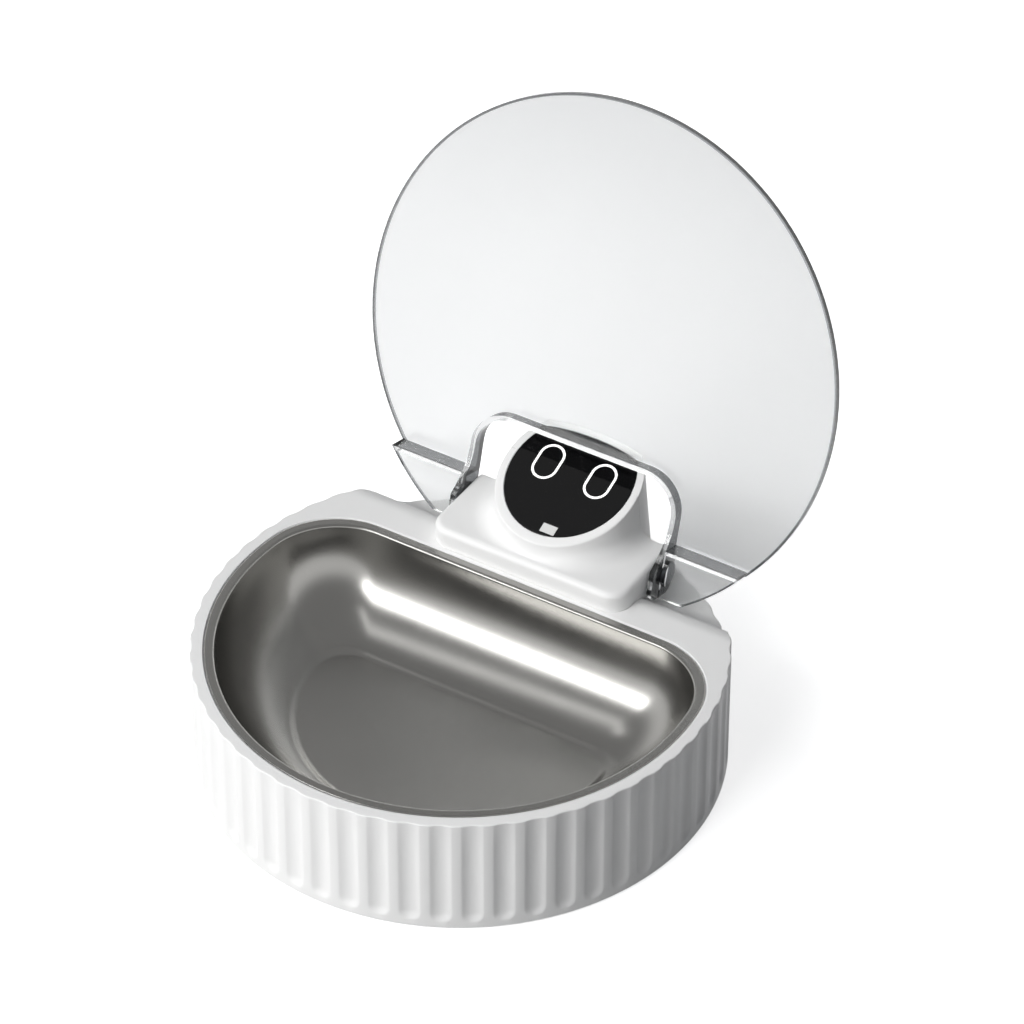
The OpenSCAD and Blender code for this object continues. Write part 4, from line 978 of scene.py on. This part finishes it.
class FEEDER_OT_stage(bpy.types.Operator):
    """Set up the floor, the white surroundings, the lamps and the camera"""
    bl_idname = "feeder.stage"
    bl_label = "Stage"

    def execute(self, context):
        scene = context.scene
        scene.view_settings.view_transform = "Standard"

        # The floor is pale paper that shows as white and keeps a light shadow of the feeder.
        # More of that shadow shows through glass, and the floor throws less light on the feeder
        # than so pale a paper would.
        material, tree, output = new_material("white_paper_floor")
        path = add_node(tree, "ShaderNodeLightPath")
        tone = add_node(tree, "ShaderNodeMix", {"data_type": "RGBA"}, {
            "Factor": path.outputs["Is Diffuse Ray"]})
        tree.links.new(mottled(tree, object_place(tree), [FLOOR_SEEN] * 3, 0.004, 400),
                       tone.inputs["A"])
        tone.inputs["B"].default_value = [FLOOR_BOUNCE] * 3 + [1]
        paper = add_node(tree, "ShaderNodeBsdfDiffuse", inputs={"Color": tone.outputs["Result"]})
        glow = add_node(tree, "ShaderNodeEmission", inputs={"Color": (1, 1, 1, 1)})
        share = add_node(tree, "ShaderNodeMapRange", inputs={
            "Value": path.outputs["Is Transmission Ray"],
            "To Min": FLOOR_GLOW, "To Max": FLOOR_GLOW_BEHIND_GLASS})
        shown = add_node(tree, "ShaderNodeMath", {"operation": "MULTIPLY"}, {
            0: seen_itself(tree), 1: share.outputs[0]})
        tree.links.new(shown.outputs[0], glow.inputs["Strength"])
        both = add_node(tree, "ShaderNodeAddShader", inputs={
            0: paper.outputs[0], 1: glow.outputs[0]})
        tree.links.new(both.outputs[0], output.inputs["Surface"])
        corners = [(x * FLOOR_HALF, y * FLOOR_HALF, 0) for x, y in ((-1, -1), (1, -1), (1, 1), (-1, 1))]
        floor = finish_mesh("floor", corners, [(0, 1, 2, 3)], material)

        # The surroundings are white to the camera, metal and glass, and dim to the light.
        # Overhead, gloss and metal see the studio's darker ceiling.
        world = bpy.data.worlds.new("white_studio")
        world.use_nodes = True
        scene.world = world
        tree = world.node_tree
        tree.nodes.clear()
        dim = add_node(tree, "ShaderNodeBackground", inputs={
            "Color": (0.9, 0.93, 1.0, 1), "Strength": 0.11})
        bright = add_node(tree, "ShaderNodeBackground", inputs={
            "Color": (1, 1, 1, 1), "Strength": studio_white(tree)})
        mix = add_node(tree, "ShaderNodeMixShader", inputs={
            0: seen_itself(tree), 1: dim.outputs[0], 2: bright.outputs[0]})
        output = add_node(tree, "ShaderNodeOutputWorld")
        tree.links.new(mix.outputs[0], output.inputs["Surface"])

        # The key and the fill light the plastic and are hidden from gloss. The two strips are
        # what the steel mirrors.
        key = add_lamp("key_softbox", azimuth=-12, elevation=36, distance=1.9, size=(1.2, 0.9),
                       watts=26)
        fill = add_lamp("fill_softbox", azimuth=-60, elevation=35, distance=1.9, size=(0.9, 0.9),
                        watts=5)
        key.visible_glossy = fill.visible_glossy = False
        add_lamp("bright_strip", azimuth=-28, elevation=29, distance=1.9, size=(0.9, 0.42), watts=9)
        add_lamp("dim_strip", azimuth=-57, elevation=60, distance=1.7, size=(1.0, 0.2), watts=1)

        back = direction(CAMERA_AZIMUTH, CAMERA_ELEVATION)
        data = bpy.data.cameras.new("camera")
        data.sensor_width = 36
        data.lens = CAMERA_ZOOM * CAMERA_DISTANCE * data.sensor_width / IMAGE_WIDTH
        data.clip_end = 50
        camera = bpy.data.objects.new("camera", data)
        camera.location = TARGET + back * CAMERA_DISTANCE
        camera.rotation_euler = back.to_track_quat("Z", "Y").to_euler()
        scene.collection.objects.link(camera)
        scene.camera = camera
        return {"FINISHED"}


# Panel and registration


OPERATORS = (
    FEEDER_OT_stage,
    FEEDER_OT_base_shell,
    FEEDER_OT_bowl,
    FEEDER_OT_head,
    FEEDER_OT_face,
    FEEDER_OT_lid,
    FEEDER_OT_fittings,
    FEEDER_OT_drive,
    FEEDER_OT_electronics,
)


class FEEDER_PT_panel(bpy.types.Panel):
    """The feeder's sizes, colours and building steps"""
    bl_idname = "FEEDER_PT_panel"
    bl_label = "Feeder"
    bl_space_type = "VIEW_3D"
    bl_region_type = "UI"
    bl_category = "Feeder"

    def draw(self, context):
        for group in (context.scene.feeder_sizes, context.scene.feeder_colours):
            for name in group.bl_rna.properties.keys():
                if name not in ("rna_type", "name"):
                    self.layout.prop(group, name)
        for operator in OPERATORS:
            self.layout.operator(operator.bl_idname)


CLASSES = (FeederSizes, FeederColours, *OPERATORS, FEEDER_PT_panel)


def register():
    for cls in CLASSES:
        bpy.utils.register_class(cls)
    bpy.types.Scene.feeder_sizes = bpy.props.PointerProperty(type=FeederSizes)
    bpy.types.Scene.feeder_colours = bpy.props.PointerProperty(type=FeederColours)


def unregister():
    del bpy.types.Scene.feeder_colours
    del bpy.types.Scene.feeder_sizes
    for cls in reversed(CLASSES):
        bpy.utils.unregister_class(cls)


def main():
    register()
    for operator in OPERATORS:
        group, name = operator.bl_idname.split(".")
        getattr(getattr(bpy.ops, group), name)()


if __name__ == "__main__":
    main()
